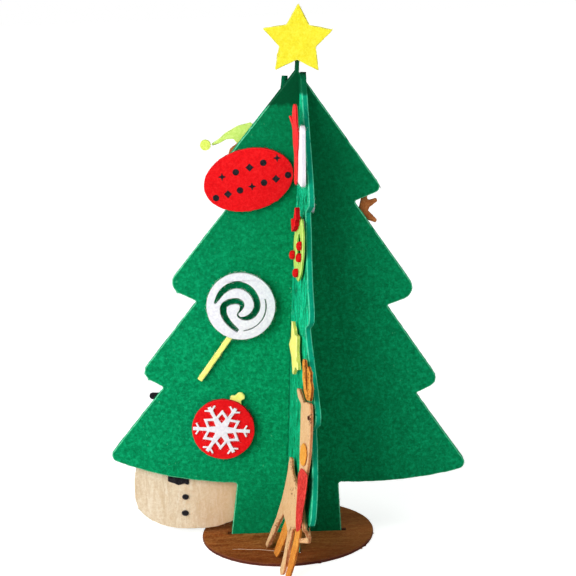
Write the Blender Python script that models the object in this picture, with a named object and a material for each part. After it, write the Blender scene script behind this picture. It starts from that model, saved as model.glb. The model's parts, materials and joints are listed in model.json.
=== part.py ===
"""A felt tabletop tree: two halved tree panels that stand in a slotted felt disc, with cut-felt ornaments.

Metres, +Z up. The origin is on the ground, under the middle of the lowest tips. The wide panel stands in the
XZ plane, leans a little to the right on its base and faces -Y. The cross panel passes through it, a little
off square, with its front flap towards -Y.
Every flat piece is drawn in its panel's own frame: x runs along the panel (on the cross panel towards the
front), z is up, and y is the depth through the felt, with the decorated face at negative y.
"""

import math

import bmesh
import bpy
from mathutils import Matrix

MM = 0.001

# Felt sheets, and the small gap that a cut sheet keeps to what it lies on or passes through
PANEL_THICKNESS = 3.0 * MM
BASE_THICKNESS = 2.0 * MM
ORNAMENT_THICKNESS = 2.0 * MM
TRIM_THICKNESS = 1.2 * MM
THIN_THICKNESS = 0.6 * MM
SEAT_GAP = 0.3 * MM

# Base disc and the slots for the panels' feet
BASE_RADIUS = 45.8 * MM
BASE_OFFSET = 0.7 * MM
BASE_SLOT_END_PLAY = 2.2 * MM
FOOT_RECESS = 0.3 * MM
CUT_OVERRUN = 4.0 * MM

# How far the whole tree leans to the right on its base
TREE_LEAN = math.radians(3.4)

# Tree outline, shared by both panels: half widths from the middle line, heights above the base's top face
APEX_HEIGHT = 249.0 * MM
TIP_1_HALF_WIDTH = 45.6 * MM
TIP_1_HEIGHT = 188.0 * MM
TIP_1_ROUND = 3.2 * MM
NOTCH_1_HALF_WIDTH = 31.0 * MM
NOTCH_1_HEIGHT = 181.3 * MM
TIP_2_HALF_WIDTH = 66.0 * MM
TIP_2_HEIGHT = 133.6 * MM
TIP_2_ROUND = 6.5 * MM
NOTCH_2_HALF_WIDTH = 49.7 * MM
NOTCH_2_HEIGHT = 126.5 * MM
TIP_3_HALF_WIDTH = 79.2 * MM
TIP_3_HEIGHT = 85.8 * MM
TIP_3_ROUND = 6.5 * MM
NOTCH_3_HALF_WIDTH = 66.5 * MM
NOTCH_3_HEIGHT = 79.3 * MM
TIP_4_HALF_WIDTH = 95.9 * MM
TIP_4_HEIGHT = 39.2 * MM
TIP_4_ROUND = 3.8 * MM
NOTCH_ROUND = 0.8 * MM
TRUNK_TOP_HALF_WIDTH = 27.0 * MM
TRUNK_TOP_HEIGHT = 27.9 * MM
TRUNK_TOP_ROUND = 1.4 * MM
WIDE_TRUNK_TOP_SKEW = 1.0 * MM
TRUNK_FOOT_HALF_WIDTH = 29.4 * MM
HEM_SAG_POWER = 2.2
HEM_STEPS = 6
MIDDLE_HEIGHT = 122.0 * MM
APEX_TAB_WIDTH = 2.2 * MM
APEX_TAB_TOP_HEIGHT = 264.0 * MM

# How the cross panel stands: its place and turn, the lean of its flaps, its slow wave and its curled tips
CROSS_OFFSET = 1.2 * MM
CROSS_SKEW = math.radians(8.9)
FRONT_FLAP_LEAN = 1.6 * MM
REAR_FLAP_LEAN = 7.0 * MM
FRONT_LEAN_SPAN = 92.0 * MM
REAR_LEAN_SPAN = 118.0 * MM
FRONT_FLAP_RISE = 1.5 * MM
WAVE_REACH = 1.5 * MM
WAVE_LENGTH = 95.0 * MM
WAVE_PEAK_HEIGHT = 88.0 * MM
WAVE_START_HEIGHT = 12.0 * MM
WAVE_RISE = 24.0 * MM
LOW_CURL = 2.1 * MM
LOW_CURL_SPAN = 21.0 * MM
LOW_CURL_POWER = 1.6
TOP_CURL = 1.4 * MM
TOP_CURL_SPAN = 50.0 * MM
CURL_FADE_POWER = 3
BEND_PITCH = 9.0 * MM

# Star on the apex tab
STAR_RADIUS = 19.0 * MM
STAR_INNER_RADIUS = 9.9 * MM
STAR_HEIGHT = 263.7 * MM
STAR_ROUND = 0.5 * MM

# Oval sign on the left wing. It lies next to the cross panel's flap.
SIGN_HALF_LENGTH = 23.5 * MM
SIGN_HALF_HEIGHT = 16.2 * MM
SIGN_HEIGHT = 192.0 * MM
SIGN_TILT = math.radians(16.0)
SIGN_CLEARANCE = 1.9 * MM
SIGN_DOT_RADIUS = 7.0 * MM

# Lollipop: a disc with a two-armed swirl cut through it, on a stick
LOLLIPOP_RADIUS = 17.85 * MM
LOLLIPOP_OUT = 26.3 * MM
LOLLIPOP_HEIGHT = 125.7 * MM
SWIRL_HALF_WIDTH = 1.7 * MM
SWIRL_STEPS_PER_SPAN = 3
SLIT_RADIUS = 13.1 * MM
SLIT_HALF_WIDTH = 0.25 * MM
SLIT_FROM = math.radians(-83.0)
SLIT_TO = math.radians(19.0)
SLIT_STEPS = 10
STICK_WIDTH = 3.1 * MM
STICK_LENGTH = 32.4 * MM
STICK_UNDER_DISC = 4.2 * MM
STICK_SIDE = 4.9 * MM
STICK_ANGLE = math.radians(236.8)
STICK_ROUND = 0.5 * MM
LOLLIPOP_DOT_RADIUS = 1.6 * MM

# Bauble with its cap and snowflake
BAUBLE_RADIUS = 16.6 * MM
BAUBLE_OUT = 34.5 * MM
BAUBLE_HEIGHT = 58.4 * MM
BAUBLE_DOT_RADIUS = 6.0 * MM
CAP_LEAN = math.radians(23.0)
CAP_WIDTH = 7.8 * MM
CAP_TALL = 9.4 * MM
CAP_UNDER_DISC = 4.0 * MM
CAP_ROUND = 0.9 * MM
FLAKE_OUT = 35.5 * MM
FLAKE_TURN = math.radians(-1.8)
FLAKE_ARM_LENGTH = 14.0 * MM
FLAKE_LEVEL_ARM_LENGTH = 15.0 * MM
FLAKE_BAR_HALF_WIDTH = 0.95 * MM
FLAKE_STAR_RADIUS = 11.1 * MM
FLAKE_DIAMOND_INNER = 3.6 * MM
FLAKE_DIAMOND_OUTER = 8.7 * MM
FLAKE_DIAMOND_HALF_WIDTH = 1.9 * MM
FLAKE_JOINT_RADIUS = 7.6 * MM
FLAKE_PRONG_FOOT = 11.5 * MM
FLAKE_PRONG_LENGTH = 2.8 * MM
FLAKE_PRONG_WIDTH = 1.0 * MM
FLAKE_PRONG_ANGLE = math.radians(60.0)
FLAKE_ARMS = 6

# Mitten near the top of the front flap
MITTEN_REACH = 20.0 * MM
MITTEN_HEIGHT = 214.6 * MM
MITTEN_WIDE = 22.0 * MM
MITTEN_TALL = 41.5 * MM
MITTEN_ROUND = 3.0 * MM
MITTEN_TRIM_REACH = 28.5 * MM
MITTEN_TRIM_HEIGHT = 211.0 * MM
MITTEN_TRIM_WIDE = 25.0 * MM
MITTEN_TRIM_TALL = 30.5 * MM
MITTEN_TRIM_ROUND = 5.0 * MM
MITTEN_DOT_REACH = 22.0 * MM
MITTEN_DOT_HEIGHT = 203.0 * MM
MITTEN_DOT_RADIUS = 4.5 * MM

# Wreath: a scalloped ring with a bow and berries
WREATH_REACH = 30.5 * MM
WREATH_HEIGHT = 162.8 * MM
WREATH_RADIUS = 16.4 * MM
WREATH_SCALLOP = 0.7 * MM
WREATH_SCALLOPS = 10
WREATH_HOLE_RADIUS = 7.4 * MM
WREATH_BERRY_RADIUS = 2.3 * MM
WREATH_BERRY_BULGE = 1.3 * MM
WREATH_BERRY_ANGLES = tuple(math.radians(a) for a in (20.0, 208.0, 352.0, 290.0))
WREATH_BERRY_BELT_SHARE = 0.53
BOW_WIDE = 15.0 * MM
BOW_TALL = 10.5 * MM
BOW_ROUND = 1.0 * MM
BOW_SIDE = 4.0 * MM
BOW_RISE = 13.5 * MM
BOW_TILT = math.radians(38.0)
WREATH_DOT_RADIUS = 3.6 * MM

# Small star on the fin
SMALL_STAR_REACH = 30.0 * MM
SMALL_STAR_HEIGHT = 110.2 * MM
SMALL_STAR_RADIUS = 15.2 * MM
SMALL_STAR_INNER_RADIUS = 9.2 * MM
SMALL_STAR_TURN = math.radians(24.0)
SMALL_STAR_ROUND = 0.9 * MM
SMALL_STAR_DOT_RADIUS = 5.0 * MM

# Deer on the lower front of the fin. Its hooves hang away from the felt, just over the ground.
DEER_THICKNESS = 1.6 * MM
DEER_REACH = 16.0 * MM
DEER_LENGTH = 76.0 * MM
DEER_TALL = 100.0 * MM
DEER_HOOF_LIFT = 0.6 * MM
DEER_ROUND = 1.2 * MM
DEER_HIND_FLARE = 13.2 * MM
DEER_FRONT_FLARE = 7.6 * MM
DEER_FLARE_POWER = 4.4
KNEE_TUCK = 3.3 * MM
KNEE_TUCK_REACH = 81.0 * MM
KNEE_TUCK_HEIGHT = 36.0 * MM
KNEE_TUCK_SPAN = 4.0 * MM
ANTLER_WIDE = 34.0 * MM
ANTLER_TALL = 21.0 * MM
ANTLER_REACH = 54.0 * MM
ANTLER_FOOT_HEIGHT = 94.0 * MM
ANTLER_ROUND = 0.7 * MM
SCARF_REACH = 61.0 * MM
SCARF_WIDE = 28.6 * MM
SCARF_TALL = 34.0 * MM
SCARF_FOOT_HEIGHT = 28.5 * MM
SCARF_ROUND = 1.0 * MM
SADDLE_REACH = 69.0 * MM
SADDLE_HEIGHT = 67.2 * MM
SADDLE_HALF_WIDE = 8.8 * MM
SADDLE_HALF_TALL = 5.8 * MM
SADDLE_TURN = math.radians(19.0)
NOSE_REACH = 75.2 * MM
NOSE_HEIGHT = 88.2 * MM
NOSE_RADIUS = 1.4 * MM
DEER_DOT_REACH = 67.0 * MM
DEER_DOT_HEIGHT = 87.5 * MM
DEER_DOT_RADIUS = 4.0 * MM

# White disc on the fin's right face
SNOWBALL_REACH = 18.2 * MM
SNOWBALL_HEIGHT = 182.3 * MM
SNOWBALL_RADIUS = 3.6 * MM
SNOWBALL_DOT_RADIUS = 2.6 * MM

# Snowman behind the left wing. Its decorated face is towards the panel.
SNOWMAN_OUT = 54.5 * MM
SNOWMAN_BODY_RADIUS = 27.5 * MM
SNOWMAN_BODY_SQUASH_SHARE = 0.95
SNOWMAN_BODY_FULLNESS = 2.5
SNOWMAN_HEAD_RADIUS = 16.0 * MM
SNOWMAN_HEAD_HEIGHT = 58.5 * MM
SNOWMAN_FOOT_LIFT = 0.5 * MM
SNOWMAN_DOT_HEIGHT = 50.0 * MM
SNOWMAN_DOT_RADIUS = 7.0 * MM
BUTTON_HALF_WIDE = 2.0 * MM
BUTTON_HALF_TALL = 1.75 * MM
BUTTON_TOP_HEIGHT = 17.3 * MM
BUTTON_SPACING = 9.2 * MM
TIE_OUT = 58.3 * MM
TIE_HEIGHT = 27.0 * MM
TIE_WIDE = 11.5 * MM
TIE_TALL = 6.8 * MM
TIE_ROUND = 0.9 * MM
HAT_BRIM_HALF_WIDE = 19.9 * MM
HAT_BRIM_TALL = 4.0 * MM
HAT_BRIM_HEIGHT = 72.4 * MM
HAT_CROWN_HALF_WIDE = 11.5 * MM
HAT_CROWN_TALL = 19.0 * MM
HAT_ROUND = 1.9 * MM

# Gingerbread figure behind the upper left wing, with a drooping hat
GINGER_OUT = 24.5 * MM
GINGER_FOOT_HEIGHT = 159.0 * MM
GINGER_WIDE = 31.0 * MM
GINGER_TALL = 51.0 * MM
GINGER_ROUND = 3.4 * MM
GINGER_DOT_HEIGHT = 186.0 * MM
GINGER_DOT_RADIUS = 5.0 * MM
ELF_HAT_OUT = 43.2 * MM
ELF_HAT_HEIGHT = 205.0 * MM
ELF_HAT_WIDE = 33.0 * MM
ELF_HAT_TALL = 17.0 * MM
ELF_HAT_ROUND = 1.1 * MM
POM_POM_OUT = 46.0 * MM
POM_POM_HEIGHT = 208.1 * MM
POM_POM_RADIUS = 2.7 * MM

# Deer head behind the right wing, of which an antler shows in the first notch
DEER_HEAD_OUT = 23.6 * MM
DEER_HEAD_HEIGHT = 157.0 * MM
DEER_HEAD_WIDE = 22.0 * MM
DEER_HEAD_TALL = 27.0 * MM
DEER_HEAD_ROUND = 4.0 * MM
DEER_HEAD_DOT_RADIUS = 5.0 * MM
BIG_ANTLER_WIDE = 40.0 * MM
BIG_ANTLER_TALL = 24.0 * MM
BIG_ANTLER_HEIGHT = 162.0 * MM
BIG_ANTLER_ROUND = 0.8 * MM

# Fineness of the curves
DISC_STEPS = 72
FLAP_EDGE_STEPS = 8
ROUND_STEPS = 40
SMALL_ROUND_STEPS = 20
CORNER_STEPS = 5
SMALL_CORNER_STEPS = 3
TRIM_CORNER_STEPS = 2
STAR_POINTS = 5
BERRY_STEPS = 12
BERRY_RINGS = 3
BERRY_CREASE = math.radians(40.0)
MERGE_DISTANCE = 0.01 * MM
STRAIGHT_ENOUGH = math.radians(172.0)
FLAT_ENOUGH = math.radians(1.0)
CORNER_SIDE_SHARE = 0.45

FRONT = -1
BACK = 1
CROSS_ANGLE = CROSS_SKEW - math.pi / 2

# Outlines as shares of each piece's width (x) and height (z)
CAP_SHARES = (
    (-0.50, 0.00), (0.50, 0.00), (0.47, 0.34), (0.32, 0.52), (0.49, 0.72), (0.40, 0.90),
    (0.12, 1.00), (-0.10, 0.91), (-0.22, 0.68), (-0.50, 0.58), (-0.44, 0.30),
)
SWIRL_PATH_SHARES = (
    (-0.756, 0.067), (-0.672, 0.224), (-0.571, 0.392), (-0.409, 0.538), (-0.207, 0.627), (0.000, 0.627),
    (0.207, 0.538), (0.370, 0.364), (0.459, 0.157), (0.471, -0.011), (0.409, -0.174), (0.286, -0.308),
    (0.123, -0.359), (0.000, -0.347), (-0.067, -0.297), (-0.084, -0.230), (-0.039, -0.162), (0.011, -0.084),
    (0.034, 0.017), (0.000, 0.106), (-0.101, 0.151), (-0.224, 0.146), (-0.370, 0.101), (-0.482, 0.011),
    (-0.510, -0.129), (-0.471, -0.291), (-0.370, -0.459), (-0.224, -0.616), (-0.067, -0.745),
)
SWIRL_WIDTH_SHARES = (
    0.29, 0.71, 0.94, 1.09, 1.15, 1.15, 1.09, 1.03, 1.00, 1.00, 1.00, 0.94, 0.65, 0.35, 0.24, 0.21, 0.26,
    0.47, 0.71, 0.85, 0.94, 1.00, 1.00, 1.00, 1.00, 0.94, 0.88, 0.76, 0.53,
)
MITTEN_SHARES = (
    (-0.10, -0.50), (0.25, -0.50), (0.31, -0.11), (0.44, 0.17), (0.50, 0.41), (0.39, 0.50), (0.12, 0.50),
    (-0.01, 0.27), (-0.10, 0.12), (-0.18, 0.17), (-0.31, 0.31), (-0.46, 0.30), (-0.50, 0.15), (-0.35, -0.05),
    (-0.14, -0.15),
)
TRIM_SHARES = (
    (-0.40, -0.50), (0.42, -0.50), (0.50, -0.38), (0.50, 0.50), (0.12, 0.50), (0.02, 0.10), (-0.40, -0.20),
)
BOW_SHARES = (
    (-0.50, 0.50), (-0.50, -0.34), (-0.14, -0.10), (-0.20, -0.50), (0.00, -0.26), (0.22, -0.50),
    (0.14, -0.10), (0.50, -0.34), (0.50, 0.50), (0.12, 0.16), (-0.12, 0.16),
)
DEER_BODY_SHARES = (
    (0.043, 0.000), (0.112, 0.000), (0.097, 0.076), (0.100, 0.159), (0.151, 0.219), (0.321, 0.204),
    (0.399, 0.188), (0.459, 0.112), (0.526, 0.026), (0.586, 0.014), (0.626, 0.026), (0.537, 0.133),
    (0.518, 0.234), (0.658, 0.285), (0.842, 0.334), (0.929, 0.360), (0.945, 0.342), (0.908, 0.312),
    (0.833, 0.283), (0.839, 0.262), (0.939, 0.288), (0.989, 0.330), (0.992, 0.374), (0.961, 0.396),
    (0.908, 0.408), (0.855, 0.440), (0.818, 0.514), (0.803, 0.578), (0.824, 0.637), (0.832, 0.677),
    (0.837, 0.730), (0.818, 0.817), (0.805, 0.918), (0.784, 0.971), (0.645, 0.947), (0.539, 0.918),
    (0.363, 0.949), (0.267, 0.932), (0.342, 0.894), (0.461, 0.888), (0.454, 0.847), (0.487, 0.708),
    (0.529, 0.624), (0.561, 0.574), (0.578, 0.483), (0.324, 0.484), (0.261, 0.502), (0.208, 0.538),
    (0.153, 0.530), (0.118, 0.493), (0.104, 0.440), (0.033, 0.305), (0.012, 0.208), (0.003, 0.098),
)
DEER_FAR_LEG_SHARES = (
    (0.204, 0.000), (0.300, 0.000), (0.309, 0.094), (0.309, 0.160), (0.371, 0.244), (0.479, 0.259),
    (0.539, 0.124), (0.612, 0.019), (0.711, 0.019), (0.678, 0.154), (0.678, 0.261), (0.686, 0.327),
    (0.579, 0.384), (0.368, 0.354), (0.197, 0.274), (0.155, 0.171), (0.163, 0.074),
)
ANTLER_SHARES = (
    (0.332, 0.010), (0.147, 0.114), (0.100, 0.243), (0.015, 0.405), (0.059, 0.590), (0.065, 0.810),
    (0.147, 0.943), (0.253, 0.962), (0.282, 0.786), (0.259, 0.505), (0.294, 0.257), (0.441, 0.267),
    (0.488, 0.595), (0.485, 0.857), (0.574, 0.962), (0.676, 0.914), (0.776, 0.914), (0.712, 0.676),
    (0.788, 0.524), (0.718, 0.333), (0.600, 0.119),
)
SCARF_SHARES = (
    (0.194, 0.912), (0.461, 0.956), (0.819, 0.994), (0.900, 0.882), (0.939, 0.668), (0.968, 0.456),
    (0.981, 0.274), (0.910, 0.179), (0.484, 0.000), (0.329, 0.044), (0.245, 0.279), (0.129, 0.550),
    (0.010, 0.729),
)
TIE_SHARES = (
    (-0.50, 0.50), (-0.50, -0.20), (-0.22, -0.32), (0.00, -0.50), (0.24, -0.32), (0.50, -0.50), (0.50, 0.50),
)
GINGER_SHARES = (
    (-0.45, 0.00), (-0.16, 0.00), (0.00, 0.22), (0.16, 0.00), (0.45, 0.00), (0.30, 0.34), (0.32, 0.46),
    (0.50, 0.40), (0.50, 0.58), (0.22, 0.62), (0.22, 0.66), (0.345, 0.78), (0.30, 0.93), (0.15, 1.00),
    (-0.15, 1.00), (-0.30, 0.93), (-0.345, 0.78), (-0.22, 0.66), (-0.22, 0.62), (-0.50, 0.58),
    (-0.50, 0.40), (-0.32, 0.46), (-0.30, 0.34),
)
ELF_HAT_SHARES = (
    (0.00, 0.21), (0.02, 0.13), (0.12, 0.20), (0.24, 0.34), (0.34, 0.36), (0.42, 0.20), (0.44, 0.02),
    (0.92, 0.00), (0.96, 0.30), (0.82, 0.66), (0.60, 0.90), (0.40, 0.78), (0.22, 0.56), (0.10, 0.34),
)
DEER_HEAD_SHARES = (
    (-0.24, 0.00), (0.24, 0.00), (0.34, 0.30), (0.30, 0.52), (0.50, 0.66), (0.48, 0.78), (0.26, 0.76),
    (0.20, 1.00), (-0.20, 1.00), (-0.26, 0.76), (-0.48, 0.78), (-0.50, 0.66), (-0.30, 0.52), (-0.34, 0.30),
)
BIG_ANTLER_HALF_SHARES = (
    (0.00, 0.20), (0.12, 0.30), (0.24, 0.60), (0.285, 1.00), (0.345, 0.98), (0.355, 0.80), (0.47, 0.86),
    (0.485, 0.78), (0.385, 0.64), (0.37, 0.56), (0.49, 0.38), (0.47, 0.30), (0.34, 0.38), (0.22, 0.22),
    (0.10, 0.06), (0.00, 0.00),
)


def clear_scene():
    """Removes the objects that a new file starts with."""
    for obj in list(bpy.data.objects):
        bpy.data.objects.remove(obj)


def felt(name, color, roughness=0.95):
    """A felt's material: a Principled BSDF with its dye."""
    material = bpy.data.materials.new(name)
    material.use_nodes = True
    shader = material.node_tree.nodes["Principled BSDF"]
    shader.inputs["Base Color"].default_value = (*color, 1.0)
    shader.inputs["Roughness"].default_value = roughness
    shader.inputs["Metallic"].default_value = 0.0
    return material


def tree_frame():
    """An empty that carries the tree, leaning about its foot. Its lowest tips are evenly about the origin."""
    frame = bpy.data.objects.new("tree_frame", None)
    bpy.context.scene.collection.objects.link(frame)
    frame.rotation_euler.y = TREE_LEAN
    frame.location.x = foot_x()
    return frame


def foot_x():
    """Where the leaning tree's middle line meets the ground, with its lowest tips evenly about the origin."""
    return -(TIP_4_HEIGHT + BASE_THICKNESS) * math.sin(TREE_LEAN)


def panel_frame(name, tree, offset, angle):
    """An empty that carries a panel and its ornaments, off the tree's middle line and turned."""
    frame = bpy.data.objects.new(name, None)
    bpy.context.scene.collection.objects.link(frame)
    frame.parent = tree
    frame.location.x = offset
    frame.rotation_euler.z = angle
    return frame


def ring_of(half_wide, half_tall, steps):
    """An ellipse about the origin."""
    angles = [2 * math.pi * i / steps for i in range(steps)]
    return [(half_wide * math.cos(a), half_tall * math.sin(a)) for a in angles]


def sized(shares, wide, tall):
    """An outline given in shares, at its real size."""
    return [(x * wide, z * tall) for x, z in shares]


def turned(points, angle):
    """Points turned about the origin in their plane."""
    c, s = math.cos(angle), math.sin(angle)
    return [(x * c - z * s, x * s + z * c) for x, z in points]


def shifted(points, dx, dz):
    """Points moved in their plane."""
    return [(x + dx, z + dz) for x, z in points]


def mirrored(points):
    """The points' mirror image across the middle line, in the order that closes the outline."""
    return [(-x, z) for x, z in reversed(points)]


def rounded(corners, radii, steps=CORNER_STEPS):
    """A closed outline with each corner rounded. A radius is limited by the sides next to its corner."""
    outline = []
    count = len(corners)
    for i, (x, z) in enumerate(corners):
        radius = radii[i] if isinstance(radii, (list, tuple)) else radii
        before = corners[i - 1]
        after = corners[(i + 1) % count]
        to_before = math.hypot(before[0] - x, before[1] - z)
        to_after = math.hypot(after[0] - x, after[1] - z)
        ux, uz = (before[0] - x) / to_before, (before[1] - z) / to_before
        vx, vz = (after[0] - x) / to_after, (after[1] - z) / to_after
        opening = math.acos(max(-1.0, min(1.0, ux * vx + uz * vz)))
        if radius <= 0 or opening > STRAIGHT_ENOUGH:
            outline.append((x, z))
            continue
        longest = CORNER_SIDE_SHARE * min(to_before, to_after)
        tangent = min(radius / math.tan(opening / 2), longest)
        for k in range(steps + 1):
            t = k / steps
            a, b, c = (1 - t) ** 2, 2 * t * (1 - t), t**2
            weight = a + b * math.sin(opening / 2) + c
            px = a * (x + ux * tangent) + b * math.sin(opening / 2) * x + c * (x + vx * tangent)
            pz = a * (z + uz * tangent) + b * math.sin(opening / 2) * z + c * (z + vz * tangent)
            outline.append((px / weight, pz / weight))
    return outline


def star_outline(radius, inner, round_off):
    """A five-pointed star, one point up."""
    corners = []
    for i in range(2 * STAR_POINTS):
        r = inner if i % 2 else radius
        a = math.pi / 2 + i * math.pi / STAR_POINTS
        corners.append((r * math.cos(a), r * math.sin(a)))
    return rounded(corners, round_off, SMALL_CORNER_STEPS)


def smooth_path(points, steps):
    """A smooth path through the given points, as tuples with as many values as each point has."""
    path = []
    for i in range(len(points) - 1):
        a, b = points[max(i - 1, 0)], points[i]
        c, d = points[i + 1], points[min(i + 2, len(points) - 1)]
        for k in range(steps):
            t = k / steps
            values = []
            for before, low, high, after in zip(a, b, c, d):
                square = 2 * before - 5 * low + 4 * high - after
                cube = 3 * low - before - 3 * high + after
                values.append(low + (t * (high - before) + t**2 * square + t**3 * cube) / 2)
            path.append(tuple(values))
    path.append(tuple(points[-1]))
    return path


def swept_slot(path, half_widths):
    """The outline of a slot that follows a path, with its own half width at each point."""
    left, right = [], []
    for i, (x, z) in enumerate(path):
        ax, az = path[max(i - 1, 0)]
        bx, bz = path[min(i + 1, len(path) - 1)]
        run = math.hypot(bx - ax, bz - az)
        nx, nz = -(bz - az) / run, (bx - ax) / run
        w = half_widths[i]
        left.append((x + nx * w, z + nz * w))
        right.append((x - nx * w, z - nz * w))
    return left + right[::-1]


def flat_sheet(name, loops, thickness, material):
    """A sheet cut along closed outlines: the first is its rim and the rest are cut through it.
    It lies in the XZ plane, with its middle at y = 0."""
    curve = bpy.data.curves.new(name, "CURVE")
    curve.dimensions = "2D"
    curve.fill_mode = "BOTH"
    curve.extrude = thickness / 2
    for loop in loops:
        spline = curve.splines.new("POLY")
        spline.points.add(len(loop) - 1)
        for point, (x, z) in zip(spline.points, loop):
            point.co = (x, z, 0, 1)
        spline.use_cyclic_u = True
    drawn = bpy.data.objects.new(name + "_outline", curve)
    bpy.context.scene.collection.objects.link(drawn)
    evaluated = drawn.evaluated_get(bpy.context.evaluated_depsgraph_get())
    mesh = bpy.data.meshes.new_from_object(evaluated)
    bpy.data.objects.remove(drawn)
    bpy.data.curves.remove(curve)
    bm = bmesh.new()
    bm.from_mesh(mesh)
    bmesh.ops.remove_doubles(bm, verts=bm.verts, dist=MERGE_DISTANCE)
    bmesh.ops.dissolve_limit(bm, angle_limit=FLAT_ENOUGH, verts=bm.verts, edges=bm.edges)
    bmesh.ops.rotate(bm, matrix=Matrix.Rotation(math.pi / 2, 3, "X"), verts=bm.verts)
    bmesh.ops.recalc_face_normals(bm, faces=bm.faces)
    bm.to_mesh(mesh)
    bm.free()
    mesh.name = name
    mesh.materials.clear()
    mesh.materials.append(material)
    obj = bpy.data.objects.new(name, mesh)
    bpy.context.scene.collection.objects.link(obj)
    return obj


def depth_over(side, under, thickness):
    """The middle depth of a sheet on one side of a panel, over the layers listed in under."""
    below = sum(layer + SEAT_GAP for layer in under)
    return side * (PANEL_THICKNESS / 2 + below + SEAT_GAP + thickness / 2)


def set_on(obj, frame, x, z, side, under, thickness):
    """Puts a sheet on one side of the panel that the frame carries. z is a height above the base disc."""
    obj.parent = frame
    obj.location = (x, depth_over(side, under, thickness), BASE_THICKNESS + z)
    return obj


def ease(t):
    """A smooth rise from 0 to 1."""
    t = max(0.0, min(1.0, t))
    return t * t * (3 - 2 * t)


def front_lean(rise):
    """How far the front flap leans at a height above the base disc."""
    return FRONT_FLAP_LEAN * ease((rise - MIDDLE_HEIGHT) / FRONT_LEAN_SPAN)


def rear_lean(rise):
    """How far the rear flap leans the other way at a height above the base disc."""
    return REAR_FLAP_LEAN * ease((rise - MIDDLE_HEIGHT) / REAR_LEAN_SPAN)


def cross_bend(x, z):
    """How far the cross panel's felt stands off its flat middle plane at a place on the panel."""
    rise = z - BASE_THICKNESS
    wave = math.cos(2 * math.pi * (rise - WAVE_PEAK_HEIGHT) / WAVE_LENGTH)
    bow = WAVE_REACH * wave * ease((rise - WAVE_START_HEIGHT) / WAVE_RISE) * x / TIP_4_HALF_WIDTH
    if x < 0:
        return bow - rear_lean(rise)
    below = max(0.0, min(1.0, (TIP_4_HEIGHT + LOW_CURL_SPAN - rise) / LOW_CURL_SPAN))
    low_curl = LOW_CURL * below**LOW_CURL_POWER * (x / TIP_4_HALF_WIDTH) ** CURL_FADE_POWER
    above = ease((rise - TIP_2_HEIGHT) / TOP_CURL_SPAN)
    top_curl = TOP_CURL * above * (x / TIP_1_HALF_WIDTH) ** CURL_FADE_POWER
    return bow + front_lean(rise) - low_curl - top_curl


def deer_flare(x, z):
    """How far the deer stands off the fin at a place, beyond its seat on the dot."""
    top = DEER_DOT_HEIGHT + BASE_THICKNESS
    along = max(0.0, min(1.0, (x - DEER_REACH) / DEER_LENGTH))
    most = DEER_HIND_FLARE + (DEER_FRONT_FLARE - DEER_HIND_FLARE) * along
    return most * max(0.0, (top - z) / top) ** DEER_FLARE_POWER


def body_flare(x, z):
    """The deer's flare, with its raised knee tucked back under the fin's hem."""
    beyond = ease((x - KNEE_TUCK_REACH) / KNEE_TUCK_SPAN)
    below = ease((KNEE_TUCK_HEIGHT + BASE_THICKNESS - z) / KNEE_TUCK_SPAN)
    return deer_flare(x, z) - KNEE_TUCK * beyond * below


def bend(obj, away=None):
    """Bends a sheet of the cross panel to the panel's own lean and wave, and further away from it if asked."""
    bm = bmesh.new()
    bm.from_mesh(obj.data)
    x0, _, z0 = obj.location
    for axis, origin in ((0, x0), (2, z0)):
        low = min(v.co[axis] for v in bm.verts) + origin
        high = max(v.co[axis] for v in bm.verts) + origin
        for i in range(math.ceil(low / BEND_PITCH), math.floor(high / BEND_PITCH) + 1):
            point = [0, 0, 0]
            point[axis] = i * BEND_PITCH - origin
            normal = [0, 0, 0]
            normal[axis] = 1
            everything = bm.verts[:] + bm.edges[:] + bm.faces[:]
            bmesh.ops.bisect_plane(bm, geom=everything, dist=MERGE_DISTANCE, plane_co=point, plane_no=normal)
    for v in bm.verts:
        x, z = v.co.x + x0, v.co.z + z0
        v.co.y += cross_bend(x, z)
        if away:
            v.co.y -= away(x, z)
    bm.to_mesh(obj.data)
    bm.free()
    return obj


def half_outline(foot_height, trunk_top=TRUNK_TOP_HEIGHT):
    """One side of the tree outline, from the first tip down to the foot, with each corner's rounding."""
    span = TIP_4_HALF_WIDTH - TRUNK_TOP_HALF_WIDTH
    drop = TIP_4_HEIGHT - trunk_top
    hem = []
    for i in range(1, HEM_STEPS):
        share = 1 - i / HEM_STEPS
        hem.append((TRUNK_TOP_HALF_WIDTH + span * share, trunk_top + drop * share**HEM_SAG_POWER, 0))
    return [
        (TIP_1_HALF_WIDTH, TIP_1_HEIGHT, TIP_1_ROUND),
        (NOTCH_1_HALF_WIDTH, NOTCH_1_HEIGHT, NOTCH_ROUND),
        (TIP_2_HALF_WIDTH, TIP_2_HEIGHT, TIP_2_ROUND),
        (NOTCH_2_HALF_WIDTH, NOTCH_2_HEIGHT, NOTCH_ROUND),
        (TIP_3_HALF_WIDTH, TIP_3_HEIGHT, TIP_3_ROUND),
        (NOTCH_3_HALF_WIDTH, NOTCH_3_HEIGHT, NOTCH_ROUND),
        (TIP_4_HALF_WIDTH, TIP_4_HEIGHT, TIP_4_ROUND),
        *hem,
        (TRUNK_TOP_HALF_WIDTH, trunk_top, TRUNK_TOP_ROUND),
        (TRUNK_FOOT_HALF_WIDTH, 0, 0),
        (TRUNK_FOOT_HALF_WIDTH, foot_height, 0),
    ]


def foot_edge(x):
    """The height of a panel's foot edge above the base's top, just clear of the ground as the tree leans.
    x is the furthest that the edge gets to the right of the tree's middle line."""
    return FOOT_RECESS - BASE_THICKNESS + x * math.tan(TREE_LEAN)


def slot_half_width():
    """Half the width of a halving slot, whose walls are cut along the other panel's faces."""
    return PANEL_THICKNESS / 2 / math.cos(CROSS_SKEW) + SEAT_GAP


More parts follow.
